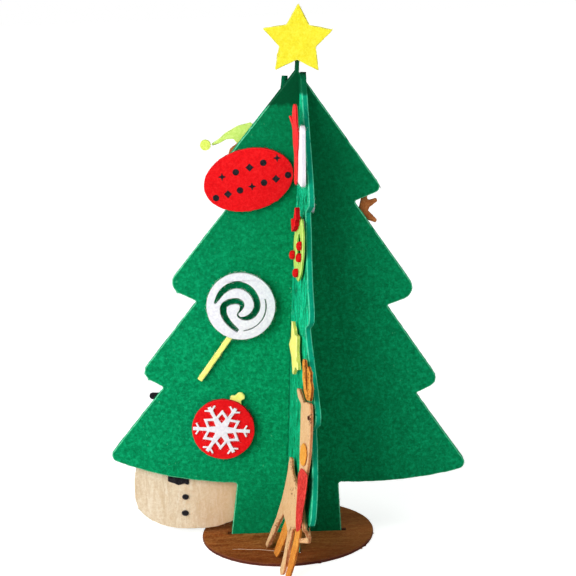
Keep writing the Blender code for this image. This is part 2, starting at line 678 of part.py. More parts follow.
def cut_slot_askew(panel, widest, low, high, slope):
    """Slants the walls of a panel's halving slot through its depth, along the faces of the panel in it."""
    for v in panel.data.vertices:
        if abs(v.co.x) < widest + SEAT_GAP and low - SEAT_GAP < v.co.z < high + SEAT_GAP:
            v.co.x += slope * v.co.y


def side_slope():
    """How fast the outline widens below the apex."""
    return TIP_1_HALF_WIDTH / (APEX_HEIGHT - TIP_1_HEIGHT)


def wide_panel(frame, material):
    """The panel that faces front: a tab for the star at its apex, and a slot up from its foot."""
    slot = slot_half_width()
    slot_end = MIDDLE_HEIGHT + SEAT_GAP / 2
    tab = APEX_TAB_WIDTH / 2
    shoulder = APEX_HEIGHT - tab / side_slope()
    sides = []
    for side in (1, -1):
        trunk_top = TRUNK_TOP_HEIGHT + side * WIDE_TRUNK_TOP_SKEW
        half = [(tab, APEX_TAB_TOP_HEIGHT, 0), (tab, shoulder, 0)]
        half += half_outline(foot_edge(side * TRUNK_FOOT_HALF_WIDTH), trunk_top)
        wall = slot + side * CROSS_OFFSET
        half += [(wall, foot_edge(side * wall), 0), (wall, slot_end, 0)]
        sides.append(half)
    corners = sides[0] + [(-x, z, r) for x, z, r in reversed(sides[1])]
    outline = rounded([(x, z) for x, z, _ in corners], [r for _, _, r in corners])
    panel = flat_sheet("tree_panel_wide", [outline], PANEL_THICKNESS, material)
    cut_slot_askew(panel, slot + CROSS_OFFSET, -BASE_THICKNESS, slot_end, -math.tan(CROSS_SKEW))
    panel.parent = frame
    panel.location.z = BASE_THICKNESS
    return panel


def flap_edge(lean, raised):
    """A flap's edge along the slot, from its end up. It draws back as the flap leans across the skew."""
    low = MIDDLE_HEIGHT - SEAT_GAP / 2
    edge = []
    for i in range(FLAP_EDGE_STEPS + 1):
        rise = low + (APEX_HEIGHT - low) * i / FLAP_EDGE_STEPS
        edge.append((slot_half_width() + lean(rise) * math.tan(CROSS_SKEW), rise, 0))
    top = edge[-1][0]
    return edge[:-1] + [(top, APEX_HEIGHT + raised - top / side_slope(), 0)]


def cross_panel(frame, material):
    """The panel that stands across: a slot down from its apex parts it into a front and a rear flap."""
    reach_right = TRUNK_FOOT_HALF_WIDTH * math.cos(CROSS_ANGLE) - PANEL_THICKNESS / 2 * math.sin(CROSS_ANGLE)
    foot = foot_edge(CROSS_OFFSET + reach_right)
    front = flap_edge(front_lean, FRONT_FLAP_RISE) + half_outline(foot)
    rear = flap_edge(rear_lean, 0) + half_outline(foot)
    widest = max(x for x, _, _ in flap_edge(front_lean, 0) + flap_edge(rear_lean, 0))
    corners = front + [(-x, z, r) for x, z, r in reversed(rear)]
    outline = rounded([(x, z) for x, z, _ in corners], [r for _, _, r in corners])
    panel = flat_sheet("tree_panel_cross", [outline], PANEL_THICKNESS, material)
    cut_slot_askew(panel, widest, MIDDLE_HEIGHT - SEAT_GAP / 2, APEX_HEIGHT, math.tan(CROSS_SKEW))
    panel.parent = frame
    panel.location.z = BASE_THICKNESS
    return bend(panel)


def base_disc(material, frames):
    """The round base, with a slot for each panel's foot, cut as the panel leans."""
    mesh = bpy.data.meshes.new("base_disc")
    bm = bmesh.new()
    bmesh.ops.create_cone(
        bm, cap_ends=True, segments=DISC_STEPS, radius1=BASE_RADIUS, radius2=BASE_RADIUS, depth=BASE_THICKNESS
    )
    bm.to_mesh(mesh)
    bm.free()
    mesh.materials.append(material)
    disc = bpy.data.objects.new("base_disc", mesh)
    bpy.context.scene.collection.objects.link(disc)
    disc.location = (foot_x() + BASE_OFFSET, 0, BASE_THICKNESS / 2)
    for i, frame in enumerate(frames):
        slot_mesh = bpy.data.meshes.new("slot_cutter")
        bm = bmesh.new()
        bmesh.ops.create_cube(bm, size=1)
        length = 2 * (TRUNK_FOOT_HALF_WIDTH + BASE_SLOT_END_PLAY)
        width = PANEL_THICKNESS + 2 * SEAT_GAP
        bmesh.ops.scale(bm, vec=(length, width, BASE_THICKNESS + 2 * CUT_OVERRUN), verts=bm.verts)
        bm.to_mesh(slot_mesh)
        bm.free()
        cutter = bpy.data.objects.new(f"slot_cutter_{i + 1}", slot_mesh)
        bpy.context.scene.collection.objects.link(cutter)
        cutter.parent = frame
        cutter.location.z = BASE_THICKNESS / 2
        cutter.hide_render = True
        cutter.display_type = "WIRE"
        cut = disc.modifiers.new(f"slot_{i + 1}", "BOOLEAN")
        cut.operation = "DIFFERENCE"
        cut.solver = "EXACT"
        cut.object = cutter
    return disc


def dot(name, frame, x, z, radius, side, dots):
    """A round hook dot between an ornament and the panel."""
    piece = flat_sheet(name, [ring_of(radius, radius, SMALL_ROUND_STEPS)], THIN_THICKNESS, dots)
    return set_on(piece, frame, x, z, side, [], THIN_THICKNESS)


def top_star(frame, felts):
    """The star, on the front of the apex tab."""
    outline = star_outline(STAR_RADIUS, STAR_INNER_RADIUS, STAR_ROUND)
    star = flat_sheet("star", [outline], ORNAMENT_THICKNESS, felts["yellow"])
    set_on(star, frame, 0, STAR_HEIGHT, FRONT, [], ORNAMENT_THICKNESS)


def oval_sign(frame, felts):
    """A bare oval sign that ends just short of the front flap's face."""
    outline = turned(ring_of(SIGN_HALF_LENGTH, SIGN_HALF_HEIGHT, ROUND_STEPS), SIGN_TILT)
    plate = flat_sheet("sign_plate", [outline], ORNAMENT_THICKNESS, felts["red"])
    half_span = math.hypot(SIGN_HALF_LENGTH * math.cos(SIGN_TILT), SIGN_HALF_HEIGHT * math.sin(SIGN_TILT))
    depth = PANEL_THICKNESS / 2 + SEAT_GAP + THIN_THICKNESS + SEAT_GAP
    flap_face = (front_lean(SIGN_HEIGHT) - PANEL_THICKNESS / 2) / math.cos(CROSS_SKEW)
    x = CROSS_OFFSET + flap_face + depth * math.tan(CROSS_SKEW) - SIGN_CLEARANCE - half_span
    set_on(plate, frame, x, SIGN_HEIGHT, FRONT, [THIN_THICKNESS], ORNAMENT_THICKNESS)
    dot("sign_dot", frame, x, SIGN_HEIGHT, SIGN_DOT_RADIUS, FRONT, felts["hooks"])


def swirl_outline():
    """The swirl cut through the disc: one slot that winds in, turns over in the middle and winds out again."""
    points = sized(SWIRL_PATH_SHARES, LOLLIPOP_RADIUS, LOLLIPOP_RADIUS)
    knots = [(x, z, share * SWIRL_HALF_WIDTH) for (x, z), share in zip(points, SWIRL_WIDTH_SHARES)]
    path = smooth_path(knots, SWIRL_STEPS_PER_SPAN)
    return swept_slot([(x, z) for x, z, _ in path], [half for _, _, half in path])


def slit_outline():
    """The thin slit near the disc's rim."""
    angles = [SLIT_FROM + (SLIT_TO - SLIT_FROM) * i / SLIT_STEPS for i in range(SLIT_STEPS + 1)]
    path = [(SLIT_RADIUS * math.cos(a), SLIT_RADIUS * math.sin(a)) for a in angles]
    return swept_slot(path, [SLIT_HALF_WIDTH] * len(path))


def lollipop(frame, felts):
    """The stick lies under the disc's rim, on its dot, and the disc lies on the stick."""
    rim = ring_of(LOLLIPOP_RADIUS, LOLLIPOP_RADIUS, DISC_STEPS)
    loops = [rim, swirl_outline(), slit_outline()]
    disc = flat_sheet("lollipop_disc", loops, ORNAMENT_THICKNESS, felts["white"])
    under = [THIN_THICKNESS, ORNAMENT_THICKNESS]
    set_on(disc, frame, -LOLLIPOP_OUT, LOLLIPOP_HEIGHT, FRONT, under, ORNAMENT_THICKNESS)
    half = STICK_WIDTH / 2
    corners = [(0, -half), (STICK_LENGTH, -half), (STICK_LENGTH, half), (0, half)]
    start = LOLLIPOP_RADIUS - STICK_UNDER_DISC
    outline = turned(shifted(rounded(corners, STICK_ROUND, TRIM_CORNER_STEPS), start, STICK_SIDE), STICK_ANGLE)
    stick = flat_sheet("lollipop_stick", [outline], ORNAMENT_THICKNESS, felts["yellow"])
    set_on(stick, frame, -LOLLIPOP_OUT, LOLLIPOP_HEIGHT, FRONT, [THIN_THICKNESS], ORNAMENT_THICKNESS)
    dot_x, dot_z = turned([(start + LOLLIPOP_DOT_RADIUS, STICK_SIDE)], STICK_ANGLE)[0]
    place = (dot_x - LOLLIPOP_OUT, dot_z + LOLLIPOP_HEIGHT)
    dot("lollipop_dot", frame, *place, LOLLIPOP_DOT_RADIUS, FRONT, felts["hooks"])


def flake_arm(length):
    """One arm of the snowflake along +X, from its own foot below to the star ring's point above it."""
    half = FLAKE_BAR_HALF_WIDTH
    between = math.pi / FLAKE_ARMS
    c, s = math.cos(FLAKE_PRONG_ANGLE), math.sin(FLAKE_PRONG_ANGLE)
    tip_x = FLAKE_PRONG_FOOT + FLAKE_PRONG_LENGTH * c
    tip_z = half + FLAKE_PRONG_LENGTH * s
    upper = [
        (length, half),
        (FLAKE_PRONG_FOOT + FLAKE_PRONG_WIDTH / s, half),
        (tip_x + FLAKE_PRONG_WIDTH * s, tip_z - FLAKE_PRONG_WIDTH * c),
        (tip_x, tip_z),
        (FLAKE_PRONG_FOOT, half),
        (FLAKE_JOINT_RADIUS, half),
        (FLAKE_STAR_RADIUS * math.cos(between), FLAKE_STAR_RADIUS * math.sin(between)),
    ]
    lower = [(x, -z) for x, z in reversed(upper[:-1])]
    return lower + upper


def snowflake_loops():
    """The snowflake's rim and the diamond openings between its arms."""
    rim, diamonds = [], []
    middle = (FLAKE_DIAMOND_INNER + FLAKE_DIAMOND_OUTER) / 2
    diamond = [
        (FLAKE_DIAMOND_INNER, 0), (middle, FLAKE_DIAMOND_HALF_WIDTH),
        (FLAKE_DIAMOND_OUTER, 0), (middle, -FLAKE_DIAMOND_HALF_WIDTH),
    ]
    for i in range(FLAKE_ARMS):
        angle = FLAKE_TURN + 2 * math.pi * i / FLAKE_ARMS
        level = i % (FLAKE_ARMS // 2) == 0
        rim += turned(flake_arm(FLAKE_LEVEL_ARM_LENGTH if level else FLAKE_ARM_LENGTH), angle)
        diamonds.append(turned(diamond, angle + math.pi / FLAKE_ARMS))
    return [rim] + diamonds


def bauble(frame, felts):
    """The cap lies beside the disc's dot, under the disc's rim, and the snowflake lies on the disc."""
    rim = ring_of(BAUBLE_RADIUS, BAUBLE_RADIUS, DISC_STEPS)
    disc = flat_sheet("bauble_disc", [rim], ORNAMENT_THICKNESS, felts["red"])
    under = [THIN_THICKNESS, TRIM_THICKNESS]
    set_on(disc, frame, -BAUBLE_OUT, BAUBLE_HEIGHT, FRONT, under, ORNAMENT_THICKNESS)
    cap_points = rounded(sized(CAP_SHARES, CAP_WIDTH, CAP_TALL), CAP_ROUND, SMALL_CORNER_STEPS)
    outline = turned(shifted(cap_points, 0, BAUBLE_RADIUS - CAP_UNDER_DISC), -CAP_LEAN)
    cap = flat_sheet("bauble_cap", [outline], TRIM_THICKNESS, felts["yellow"])
    set_on(cap, frame, -BAUBLE_OUT, BAUBLE_HEIGHT, FRONT, [THIN_THICKNESS], TRIM_THICKNESS)
    flake = flat_sheet("bauble_snowflake", snowflake_loops(), THIN_THICKNESS, felts["white"])
    over = under + [ORNAMENT_THICKNESS]
    set_on(flake, frame, -FLAKE_OUT, BAUBLE_HEIGHT, FRONT, over, THIN_THICKNESS)
    pad_thickness = THIN_THICKNESS + SEAT_GAP + TRIM_THICKNESS
    pad_rim = ring_of(BAUBLE_DOT_RADIUS, BAUBLE_DOT_RADIUS, SMALL_ROUND_STEPS)
    pad = flat_sheet("bauble_dot", [pad_rim], pad_thickness, felts["hooks"])
    set_on(pad, frame, -BAUBLE_OUT, BAUBLE_HEIGHT, FRONT, [], pad_thickness)


def mitten(frame, felts):
    """A red mitten over a white trim sheet that shows along its outer side and its foot."""
    trim_points = rounded(sized(TRIM_SHARES, MITTEN_TRIM_WIDE, MITTEN_TRIM_TALL), MITTEN_TRIM_ROUND)
    trim = flat_sheet("mitten_trim", [trim_points], TRIM_THICKNESS, felts["white"])
    set_on(trim, frame, MITTEN_TRIM_REACH, MITTEN_TRIM_HEIGHT, FRONT, [THIN_THICKNESS], TRIM_THICKNESS)
    bend(trim)
    points = rounded(sized(MITTEN_SHARES, MITTEN_WIDE, MITTEN_TALL), MITTEN_ROUND)
    body = flat_sheet("mitten_body", [points], TRIM_THICKNESS, felts["red"])
    under = [THIN_THICKNESS, TRIM_THICKNESS]
    set_on(body, frame, MITTEN_REACH, MITTEN_HEIGHT, FRONT, under, TRIM_THICKNESS)
    bend(body)
    place = (MITTEN_DOT_REACH, MITTEN_DOT_HEIGHT)
    bend(dot("mitten_dot", frame, *place, MITTEN_DOT_RADIUS, FRONT, felts["hooks"]))


def berry(name, frame, x, z, felts):
    """A round felt berry with a domed front, on the wreath."""
    mesh = bpy.data.meshes.new(name)
    bm = bmesh.new()
    half = TRIM_THICKNESS / 2
    rings = [(WREATH_BERRY_RADIUS, half), (WREATH_BERRY_RADIUS, -half)]
    for i in range(1, BERRY_RINGS):
        a = math.pi / 2 * i / BERRY_RINGS
        rings.append((WREATH_BERRY_RADIUS * math.cos(a), -half - WREATH_BERRY_BULGE * math.sin(a)))
    loops = []
    for radius, y in rings:
        points = ring_of(radius, radius, BERRY_STEPS)
        loops.append([bm.verts.new((px, y, pz)) for px, pz in points])
    for low, high in zip(loops, loops[1:]):
        for i in range(BERRY_STEPS):
            j = (i + 1) % BERRY_STEPS
            bm.faces.new((low[i], low[j], high[j], high[i]))
    bm.faces.new(loops[0])
    crown = bm.verts.new((0, -half - WREATH_BERRY_BULGE, 0))
    for i in range(BERRY_STEPS):
        bm.faces.new((loops[-1][i], loops[-1][(i + 1) % BERRY_STEPS], crown))
    bmesh.ops.recalc_face_normals(bm, faces=bm.faces)
    bm.to_mesh(mesh)
    bm.free()
    mesh.shade_smooth()
    mesh.set_sharp_from_angle(angle=BERRY_CREASE)
    mesh.materials.append(felts["berry"])
    obj = bpy.data.objects.new(name, mesh)
    bpy.context.scene.collection.objects.link(obj)
    under = [THIN_THICKNESS, TRIM_THICKNESS]
    return bend(set_on(obj, frame, x, z, FRONT, under, TRIM_THICKNESS))


def wreath(frame, felts):
    """A scalloped ring with a bow at its upper left and berries round it."""
    rim = []
    steps = DISC_STEPS
    for i in range(steps):
        a = 2 * math.pi * i / steps
        r = WREATH_RADIUS - WREATH_SCALLOP * (1 - abs(math.cos(a * WREATH_SCALLOPS / 2)))
        rim.append((r * math.cos(a), r * math.sin(a)))
    hole = ring_of(WREATH_HOLE_RADIUS, WREATH_HOLE_RADIUS, ROUND_STEPS)
    ring = flat_sheet("wreath_ring", [rim, hole], TRIM_THICKNESS, felts["lime"])
    bend(set_on(ring, frame, WREATH_REACH, WREATH_HEIGHT, FRONT, [THIN_THICKNESS], TRIM_THICKNESS))
    belt = WREATH_HOLE_RADIUS + (WREATH_RADIUS - WREATH_HOLE_RADIUS) * WREATH_BERRY_BELT_SHARE
    for i, a in enumerate(WREATH_BERRY_ANGLES):
        x = WREATH_REACH + belt * math.cos(a)
        z = WREATH_HEIGHT + belt * math.sin(a)
        berry(f"wreath_berry_{i + 1}", frame, x, z, felts)
    points = turned(rounded(sized(BOW_SHARES, BOW_WIDE, BOW_TALL), BOW_ROUND, TRIM_CORNER_STEPS), BOW_TILT)
    bow = flat_sheet("wreath_bow", [points], TRIM_THICKNESS, felts["red"])
    under = [THIN_THICKNESS, TRIM_THICKNESS]
    x = WREATH_REACH - BOW_SIDE
    bend(set_on(bow, frame, x, WREATH_HEIGHT + BOW_RISE, FRONT, under, TRIM_THICKNESS))
    middle = (WREATH_HOLE_RADIUS + WREATH_RADIUS) / 2
    place = (WREATH_REACH, WREATH_HEIGHT + middle)
    bend(dot("wreath_dot", frame, *place, WREATH_DOT_RADIUS, FRONT, felts["hooks"]))


def small_star(frame, felts):
    """A small star on the fin."""
    place = (SMALL_STAR_REACH, SMALL_STAR_HEIGHT)
    points = star_outline(SMALL_STAR_RADIUS, SMALL_STAR_INNER_RADIUS, SMALL_STAR_ROUND)
    outline = turned(points, SMALL_STAR_TURN)
    star = flat_sheet("small_star", [outline], ORNAMENT_THICKNESS, felts["pale_yellow"])
    bend(set_on(star, frame, *place, FRONT, [THIN_THICKNESS], ORNAMENT_THICKNESS))
    bend(dot("small_star_dot", frame, *place, SMALL_STAR_DOT_RADIUS, FRONT, felts["hooks"]))


def hooves_clear(corners):
    """Lifts the hooves that are over the base disc, to clear its top as the others clear the ground."""
    lifted = []
    for x, z in corners:
        over_base = DEER_REACH + x < BASE_RADIUS + SEAT_GAP
        lifted.append((x, BASE_THICKNESS if over_base and z < BASE_THICKNESS else z))
    return lifted


def deer_legs_sheet(name, shares, thickness, material):
    """A sheet of the deer with hooves, as large as the whole deer."""
    points = rounded(hooves_clear(sized(shares, DEER_LENGTH, DEER_TALL)), DEER_ROUND, TRIM_CORNER_STEPS)
    return flat_sheet(name, [points], thickness, material)


def deer(frame, felts):
    """A deer with its head on the fin and its hooves away from it, with antlers, scarf, saddle and nose."""
    hoof = DEER_HOOF_LIFT - BASE_THICKNESS
    under = [THIN_THICKNESS]
    over = under + [DEER_THICKNESS]
    body = deer_legs_sheet("deer_body", DEER_BODY_SHARES, DEER_THICKNESS, felts["tan"])
    bend(set_on(body, frame, DEER_REACH, hoof, FRONT, under, DEER_THICKNESS), body_flare)
    legs = deer_legs_sheet("deer_far_legs", DEER_FAR_LEG_SHARES, TRIM_THICKNESS, felts["orange"])
    set_on(legs, frame, DEER_REACH, hoof, FRONT, under, DEER_THICKNESS)
    legs.location.y += DEER_THICKNESS / 2 + SEAT_GAP + TRIM_THICKNESS / 2
    bend(legs, deer_flare)
    antler_points = rounded(sized(ANTLER_SHARES, ANTLER_WIDE, ANTLER_TALL), ANTLER_ROUND, TRIM_CORNER_STEPS)
    antlers = flat_sheet("deer_antlers", [antler_points], DEER_THICKNESS, felts["orange"])
    place = (ANTLER_REACH, ANTLER_FOOT_HEIGHT)
    bend(set_on(antlers, frame, *place, FRONT, under, DEER_THICKNESS), deer_flare)
    scarf_points = rounded(sized(SCARF_SHARES, SCARF_WIDE, SCARF_TALL), SCARF_ROUND, TRIM_CORNER_STEPS)
    scarf = flat_sheet("deer_scarf", [scarf_points], THIN_THICKNESS, felts["red"])
    bend(set_on(scarf, frame, SCARF_REACH, SCARF_FOOT_HEIGHT, FRONT, over, THIN_THICKNESS), deer_flare)
    saddle_rim = turned(ring_of(SADDLE_HALF_WIDE, SADDLE_HALF_TALL, SMALL_ROUND_STEPS), SADDLE_TURN)
    saddle = flat_sheet("deer_saddle", [saddle_rim], THIN_THICKNESS, felts["orange"])
    bend(set_on(saddle, frame, SADDLE_REACH, SADDLE_HEIGHT, FRONT, over, THIN_THICKNESS), deer_flare)
    nose_rim = ring_of(NOSE_RADIUS, NOSE_RADIUS, SMALL_ROUND_STEPS)
    nose = flat_sheet("deer_nose", [nose_rim], THIN_THICKNESS, felts["black"])
    bend(set_on(nose, frame, NOSE_REACH, NOSE_HEIGHT, FRONT, over, THIN_THICKNESS), deer_flare)
    bend(dot("deer_dot", frame, DEER_DOT_REACH, DEER_DOT_HEIGHT, DEER_DOT_RADIUS, FRONT, felts["hooks"]))


def snowball(frame, felts):
    """A white disc on the fin's right face, which shows past the first tip."""
    rim = ring_of(SNOWBALL_RADIUS, SNOWBALL_RADIUS, ROUND_STEPS)
    disc = flat_sheet("snowball_disc", [rim], ORNAMENT_THICKNESS, felts["white"])
    place = (SNOWBALL_REACH, SNOWBALL_HEIGHT)
    bend(set_on(disc, frame, *place, BACK, [THIN_THICKNESS], ORNAMENT_THICKNESS))
    bend(dot("snowball_dot", frame, *place, SNOWBALL_DOT_RADIUS, BACK, felts["hooks"]))


def fuller_ring(half_wide, half_tall, fullness, steps):
    """A closed outline like an ellipse, with fuller corners for a fullness over 2."""
    points = []
    for i in range(steps):
        a = 2 * math.pi * i / steps
        c, s = math.cos(a), math.sin(a)
        x = math.copysign(abs(c) ** (2 / fullness), c)
        z = math.copysign(abs(s) ** (2 / fullness), s)
        points.append((half_wide * x, half_tall * z))
    return points


def snowman_body_middle():
    """The height of the body's middle, with its foot just clear of the base disc's edge as the tree leans."""
    half_tall = SNOWMAN_BODY_RADIUS * SNOWMAN_BODY_SQUASH_SHARE
    inner = max(0.0, SNOWMAN_OUT - (BASE_RADIUS - BASE_OFFSET))
    past_edge = min(1.0, inner / SNOWMAN_BODY_RADIUS)
    edge_drop = (BASE_RADIUS - BASE_OFFSET) * math.tan(TREE_LEAN)
    below = half_tall * (1 - past_edge**SNOWMAN_BODY_FULLNESS) ** (1 / SNOWMAN_BODY_FULLNESS)
    return SNOWMAN_FOOT_LIFT + below - edge_drop


def snowman_outline():
    """A large full body and a smaller round head, joined where their outlines cross."""
    half_tall = SNOWMAN_BODY_RADIUS * SNOWMAN_BODY_SQUASH_SHARE
    middle = snowman_body_middle()
    ring = fuller_ring(SNOWMAN_BODY_RADIUS, half_tall, SNOWMAN_BODY_FULLNESS, DISC_STEPS)
    head = shifted(ring_of(SNOWMAN_HEAD_RADIUS, SNOWMAN_HEAD_RADIUS, ROUND_STEPS), 0, SNOWMAN_HEAD_HEIGHT)
    outline = []
    for x, z in shifted(ring, 0, middle):
        if math.hypot(x, z - SNOWMAN_HEAD_HEIGHT) > SNOWMAN_HEAD_RADIUS:
            outline.append((x, z))
    for x, z in head:
        across = abs(x / SNOWMAN_BODY_RADIUS) ** SNOWMAN_BODY_FULLNESS
        upright = abs((z - middle) / half_tall) ** SNOWMAN_BODY_FULLNESS
        if across + upright > 1:
            outline.append((x, z))
    low_middle = (middle + SNOWMAN_HEAD_HEIGHT) / 2
    return sorted(outline, key=lambda p: math.atan2(p[1] - low_middle, p[0]))


def snowman(frame, felts):
    """The snowman hangs behind the wing by a dot on its face, with its buttons and tie on that side too."""
    body = flat_sheet("snowman_body", [snowman_outline()], ORNAMENT_THICKNESS, felts["cream"])
    set_on(body, frame, -SNOWMAN_OUT, 0, BACK, [THIN_THICKNESS], ORNAMENT_THICKNESS)
    for i in range(2):
        points = ring_of(BUTTON_HALF_WIDE, BUTTON_HALF_TALL, SMALL_ROUND_STEPS)
        button = flat_sheet(f"snowman_button_{i + 1}", [points], THIN_THICKNESS, felts["black"])
        height = BUTTON_TOP_HEIGHT - i * BUTTON_SPACING
        set_on(button, frame, -SNOWMAN_OUT, height, BACK, [], THIN_THICKNESS)
    tie_points = rounded(sized(TIE_SHARES, TIE_WIDE, TIE_TALL), TIE_ROUND, TRIM_CORNER_STEPS)
    tie = flat_sheet("snowman_tie", [tie_points], THIN_THICKNESS, felts["black"])
    set_on(tie, frame, -TIE_OUT, TIE_HEIGHT, BACK, [], THIN_THICKNESS)
    brim_top = HAT_BRIM_TALL / 2
    corners = [
        (-HAT_BRIM_HALF_WIDE, -HAT_BRIM_TALL / 2), (HAT_BRIM_HALF_WIDE, -HAT_BRIM_TALL / 2),
        (HAT_BRIM_HALF_WIDE, brim_top), (HAT_CROWN_HALF_WIDE, brim_top),
        (HAT_CROWN_HALF_WIDE, brim_top + HAT_CROWN_TALL), (-HAT_CROWN_HALF_WIDE, brim_top + HAT_CROWN_TALL),
        (-HAT_CROWN_HALF_WIDE, brim_top), (-HAT_BRIM_HALF_WIDE, brim_top),
    ]
    hat_points = rounded(corners, HAT_ROUND, SMALL_CORNER_STEPS)
    hat = flat_sheet("snowman_hat", [hat_points], TRIM_THICKNESS, felts["black"])
    under = [THIN_THICKNESS, ORNAMENT_THICKNESS]
    set_on(hat, frame, -SNOWMAN_OUT, HAT_BRIM_HEIGHT, BACK, under, TRIM_THICKNESS)
    dot("snowman_dot", frame, -SNOWMAN_OUT, SNOWMAN_DOT_HEIGHT, SNOWMAN_DOT_RADIUS, BACK, felts["hooks"])


def gingerbread(frame, felts):
    """A gingerbread figure whose hat droops past the wing's edge and ends in a pom-pom."""
    points = rounded(sized(GINGER_SHARES, GINGER_WIDE, GINGER_TALL), GINGER_ROUND)
    body = flat_sheet("gingerbread_body", [points], ORNAMENT_THICKNESS, felts["copper"])
    set_on(body, frame, -GINGER_OUT, GINGER_FOOT_HEIGHT, BACK, [THIN_THICKNESS], ORNAMENT_THICKNESS)
    under = [THIN_THICKNESS, ORNAMENT_THICKNESS]
    hat_points = rounded(sized(ELF_HAT_SHARES, ELF_HAT_WIDE, ELF_HAT_TALL), ELF_HAT_ROUND, SMALL_CORNER_STEPS)
    hat = flat_sheet("gingerbread_hat", [hat_points], TRIM_THICKNESS, felts["lime"])
    set_on(hat, frame, -ELF_HAT_OUT, ELF_HAT_HEIGHT, BACK, under, TRIM_THICKNESS)
    pom_points = ring_of(POM_POM_RADIUS, POM_POM_RADIUS, SMALL_ROUND_STEPS)
    pom = flat_sheet("gingerbread_pom_pom", [pom_points], ORNAMENT_THICKNESS, felts["pale_lime"])
    set_on(pom, frame, -POM_POM_OUT, POM_POM_HEIGHT, BACK, [THIN_THICKNESS], ORNAMENT_THICKNESS)
    dot("gingerbread_dot", frame, -GINGER_OUT, GINGER_DOT_HEIGHT, GINGER_DOT_RADIUS, BACK, felts["hooks"])


def deer_head(frame, felts):
    """A deer's head behind the right wing, over a pair of branched antlers."""
    half = sized(BIG_ANTLER_HALF_SHARES, BIG_ANTLER_WIDE, BIG_ANTLER_TALL)
    outline = rounded(half[1:-1] + mirrored(half), BIG_ANTLER_ROUND, TRIM_CORNER_STEPS)
    antlers = flat_sheet("deer_head_antlers", [outline], ORNAMENT_THICKNESS, felts["copper"])
    set_on(antlers, frame, DEER_HEAD_OUT, BIG_ANTLER_HEIGHT, BACK, [THIN_THICKNESS], ORNAMENT_THICKNESS)
    points = rounded(sized(DEER_HEAD_SHARES, DEER_HEAD_WIDE, DEER_HEAD_TALL), DEER_HEAD_ROUND)
    face = flat_sheet("deer_head_face", [points], ORNAMENT_THICKNESS, felts["tan"])
    under = [THIN_THICKNESS, ORNAMENT_THICKNESS]
    drop = DEER_HEAD_HEIGHT - DEER_HEAD_TALL / 2
    set_on(face, frame, DEER_HEAD_OUT, drop, BACK, under, ORNAMENT_THICKNESS)
    dot("deer_head_dot", frame, DEER_HEAD_OUT, BIG_ANTLER_HEIGHT, DEER_HEAD_DOT_RADIUS, BACK, felts["hooks"])


def build():
    """Cuts every sheet and sets it in its place."""
    clear_scene()
    felts = {
        "green": felt("felt_green", (0.0, 0.235, 0.085)),
        "brown": felt("felt_brown", (0.25, 0.085, 0.022)),
        "yellow": felt("felt_yellow", (0.95, 0.88, 0.05)),
        "pale_yellow": felt("felt_pale_yellow", (0.95, 0.90, 0.22)),
        "red": felt("felt_red", (0.82, 0.012, 0.018)),
        "berry": felt("felt_berry", (0.60, 0.008, 0.010)),
        "white": felt("felt_white", (0.86, 0.85, 0.90)),
        "lime": felt("felt_lime", (0.50, 0.74, 0.12)),
        "pale_lime": felt("felt_pale_lime", (0.72, 0.85, 0.15)),
        "tan": felt("felt_tan", (0.78, 0.46, 0.21)),
        "orange": felt("felt_orange", (0.85, 0.30, 0.04)),
        "copper": felt("felt_copper", (0.42, 0.13, 0.035)),
        "cream": felt("felt_cream", (0.80, 0.64, 0.42)),
        "black": felt("felt_black", (0.015, 0.013, 0.016)),
        "hooks": felt("hook_dots", (0.75, 0.75, 0.74), 0.6),
    }
    tree = tree_frame()
    wide = panel_frame("wide_panel_frame", tree, 0, 0)
    cross = panel_frame("cross_panel_frame", tree, CROSS_OFFSET, CROSS_ANGLE)
    base_disc(felts["brown"], (wide, cross))
    wide_panel(wide, felts["green"])
    cross_panel(cross, felts["green"])
    top_star(wide, felts)
    oval_sign(wide, felts)
    lollipop(wide, felts)
    bauble(wide, felts)
    snowman(wide, felts)
    gingerbread(wide, felts)
    deer_head(wide, felts)
    mitten(cross, felts)
    wreath(cross, felts)
    small_star(cross, felts)
    deer(cross, felts)
    snowball(cross, felts)


build()
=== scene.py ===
"""Felt tree on a round base: the looks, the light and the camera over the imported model."""

import json
import math

import bmesh
import bpy
import numpy as np
from mathutils import Matrix, Vector, noise
from mathutils.bvhtree import BVHTree


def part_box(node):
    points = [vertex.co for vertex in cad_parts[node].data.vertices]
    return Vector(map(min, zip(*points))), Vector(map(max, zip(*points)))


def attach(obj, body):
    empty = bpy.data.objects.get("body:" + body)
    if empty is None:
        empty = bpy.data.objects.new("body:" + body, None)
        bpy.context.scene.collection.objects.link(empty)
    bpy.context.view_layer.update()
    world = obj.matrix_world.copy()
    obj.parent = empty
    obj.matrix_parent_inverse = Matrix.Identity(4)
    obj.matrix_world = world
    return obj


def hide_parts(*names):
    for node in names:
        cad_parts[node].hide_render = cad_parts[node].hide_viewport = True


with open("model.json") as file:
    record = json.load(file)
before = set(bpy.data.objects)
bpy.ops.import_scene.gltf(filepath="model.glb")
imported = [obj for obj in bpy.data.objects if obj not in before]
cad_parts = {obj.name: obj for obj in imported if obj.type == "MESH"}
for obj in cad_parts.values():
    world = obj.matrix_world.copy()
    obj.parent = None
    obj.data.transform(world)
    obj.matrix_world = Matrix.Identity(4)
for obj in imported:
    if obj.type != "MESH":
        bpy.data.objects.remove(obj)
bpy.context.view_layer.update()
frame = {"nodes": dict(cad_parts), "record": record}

MM = 0.001
SEED = 7
FLECK_SEED = SEED + 50

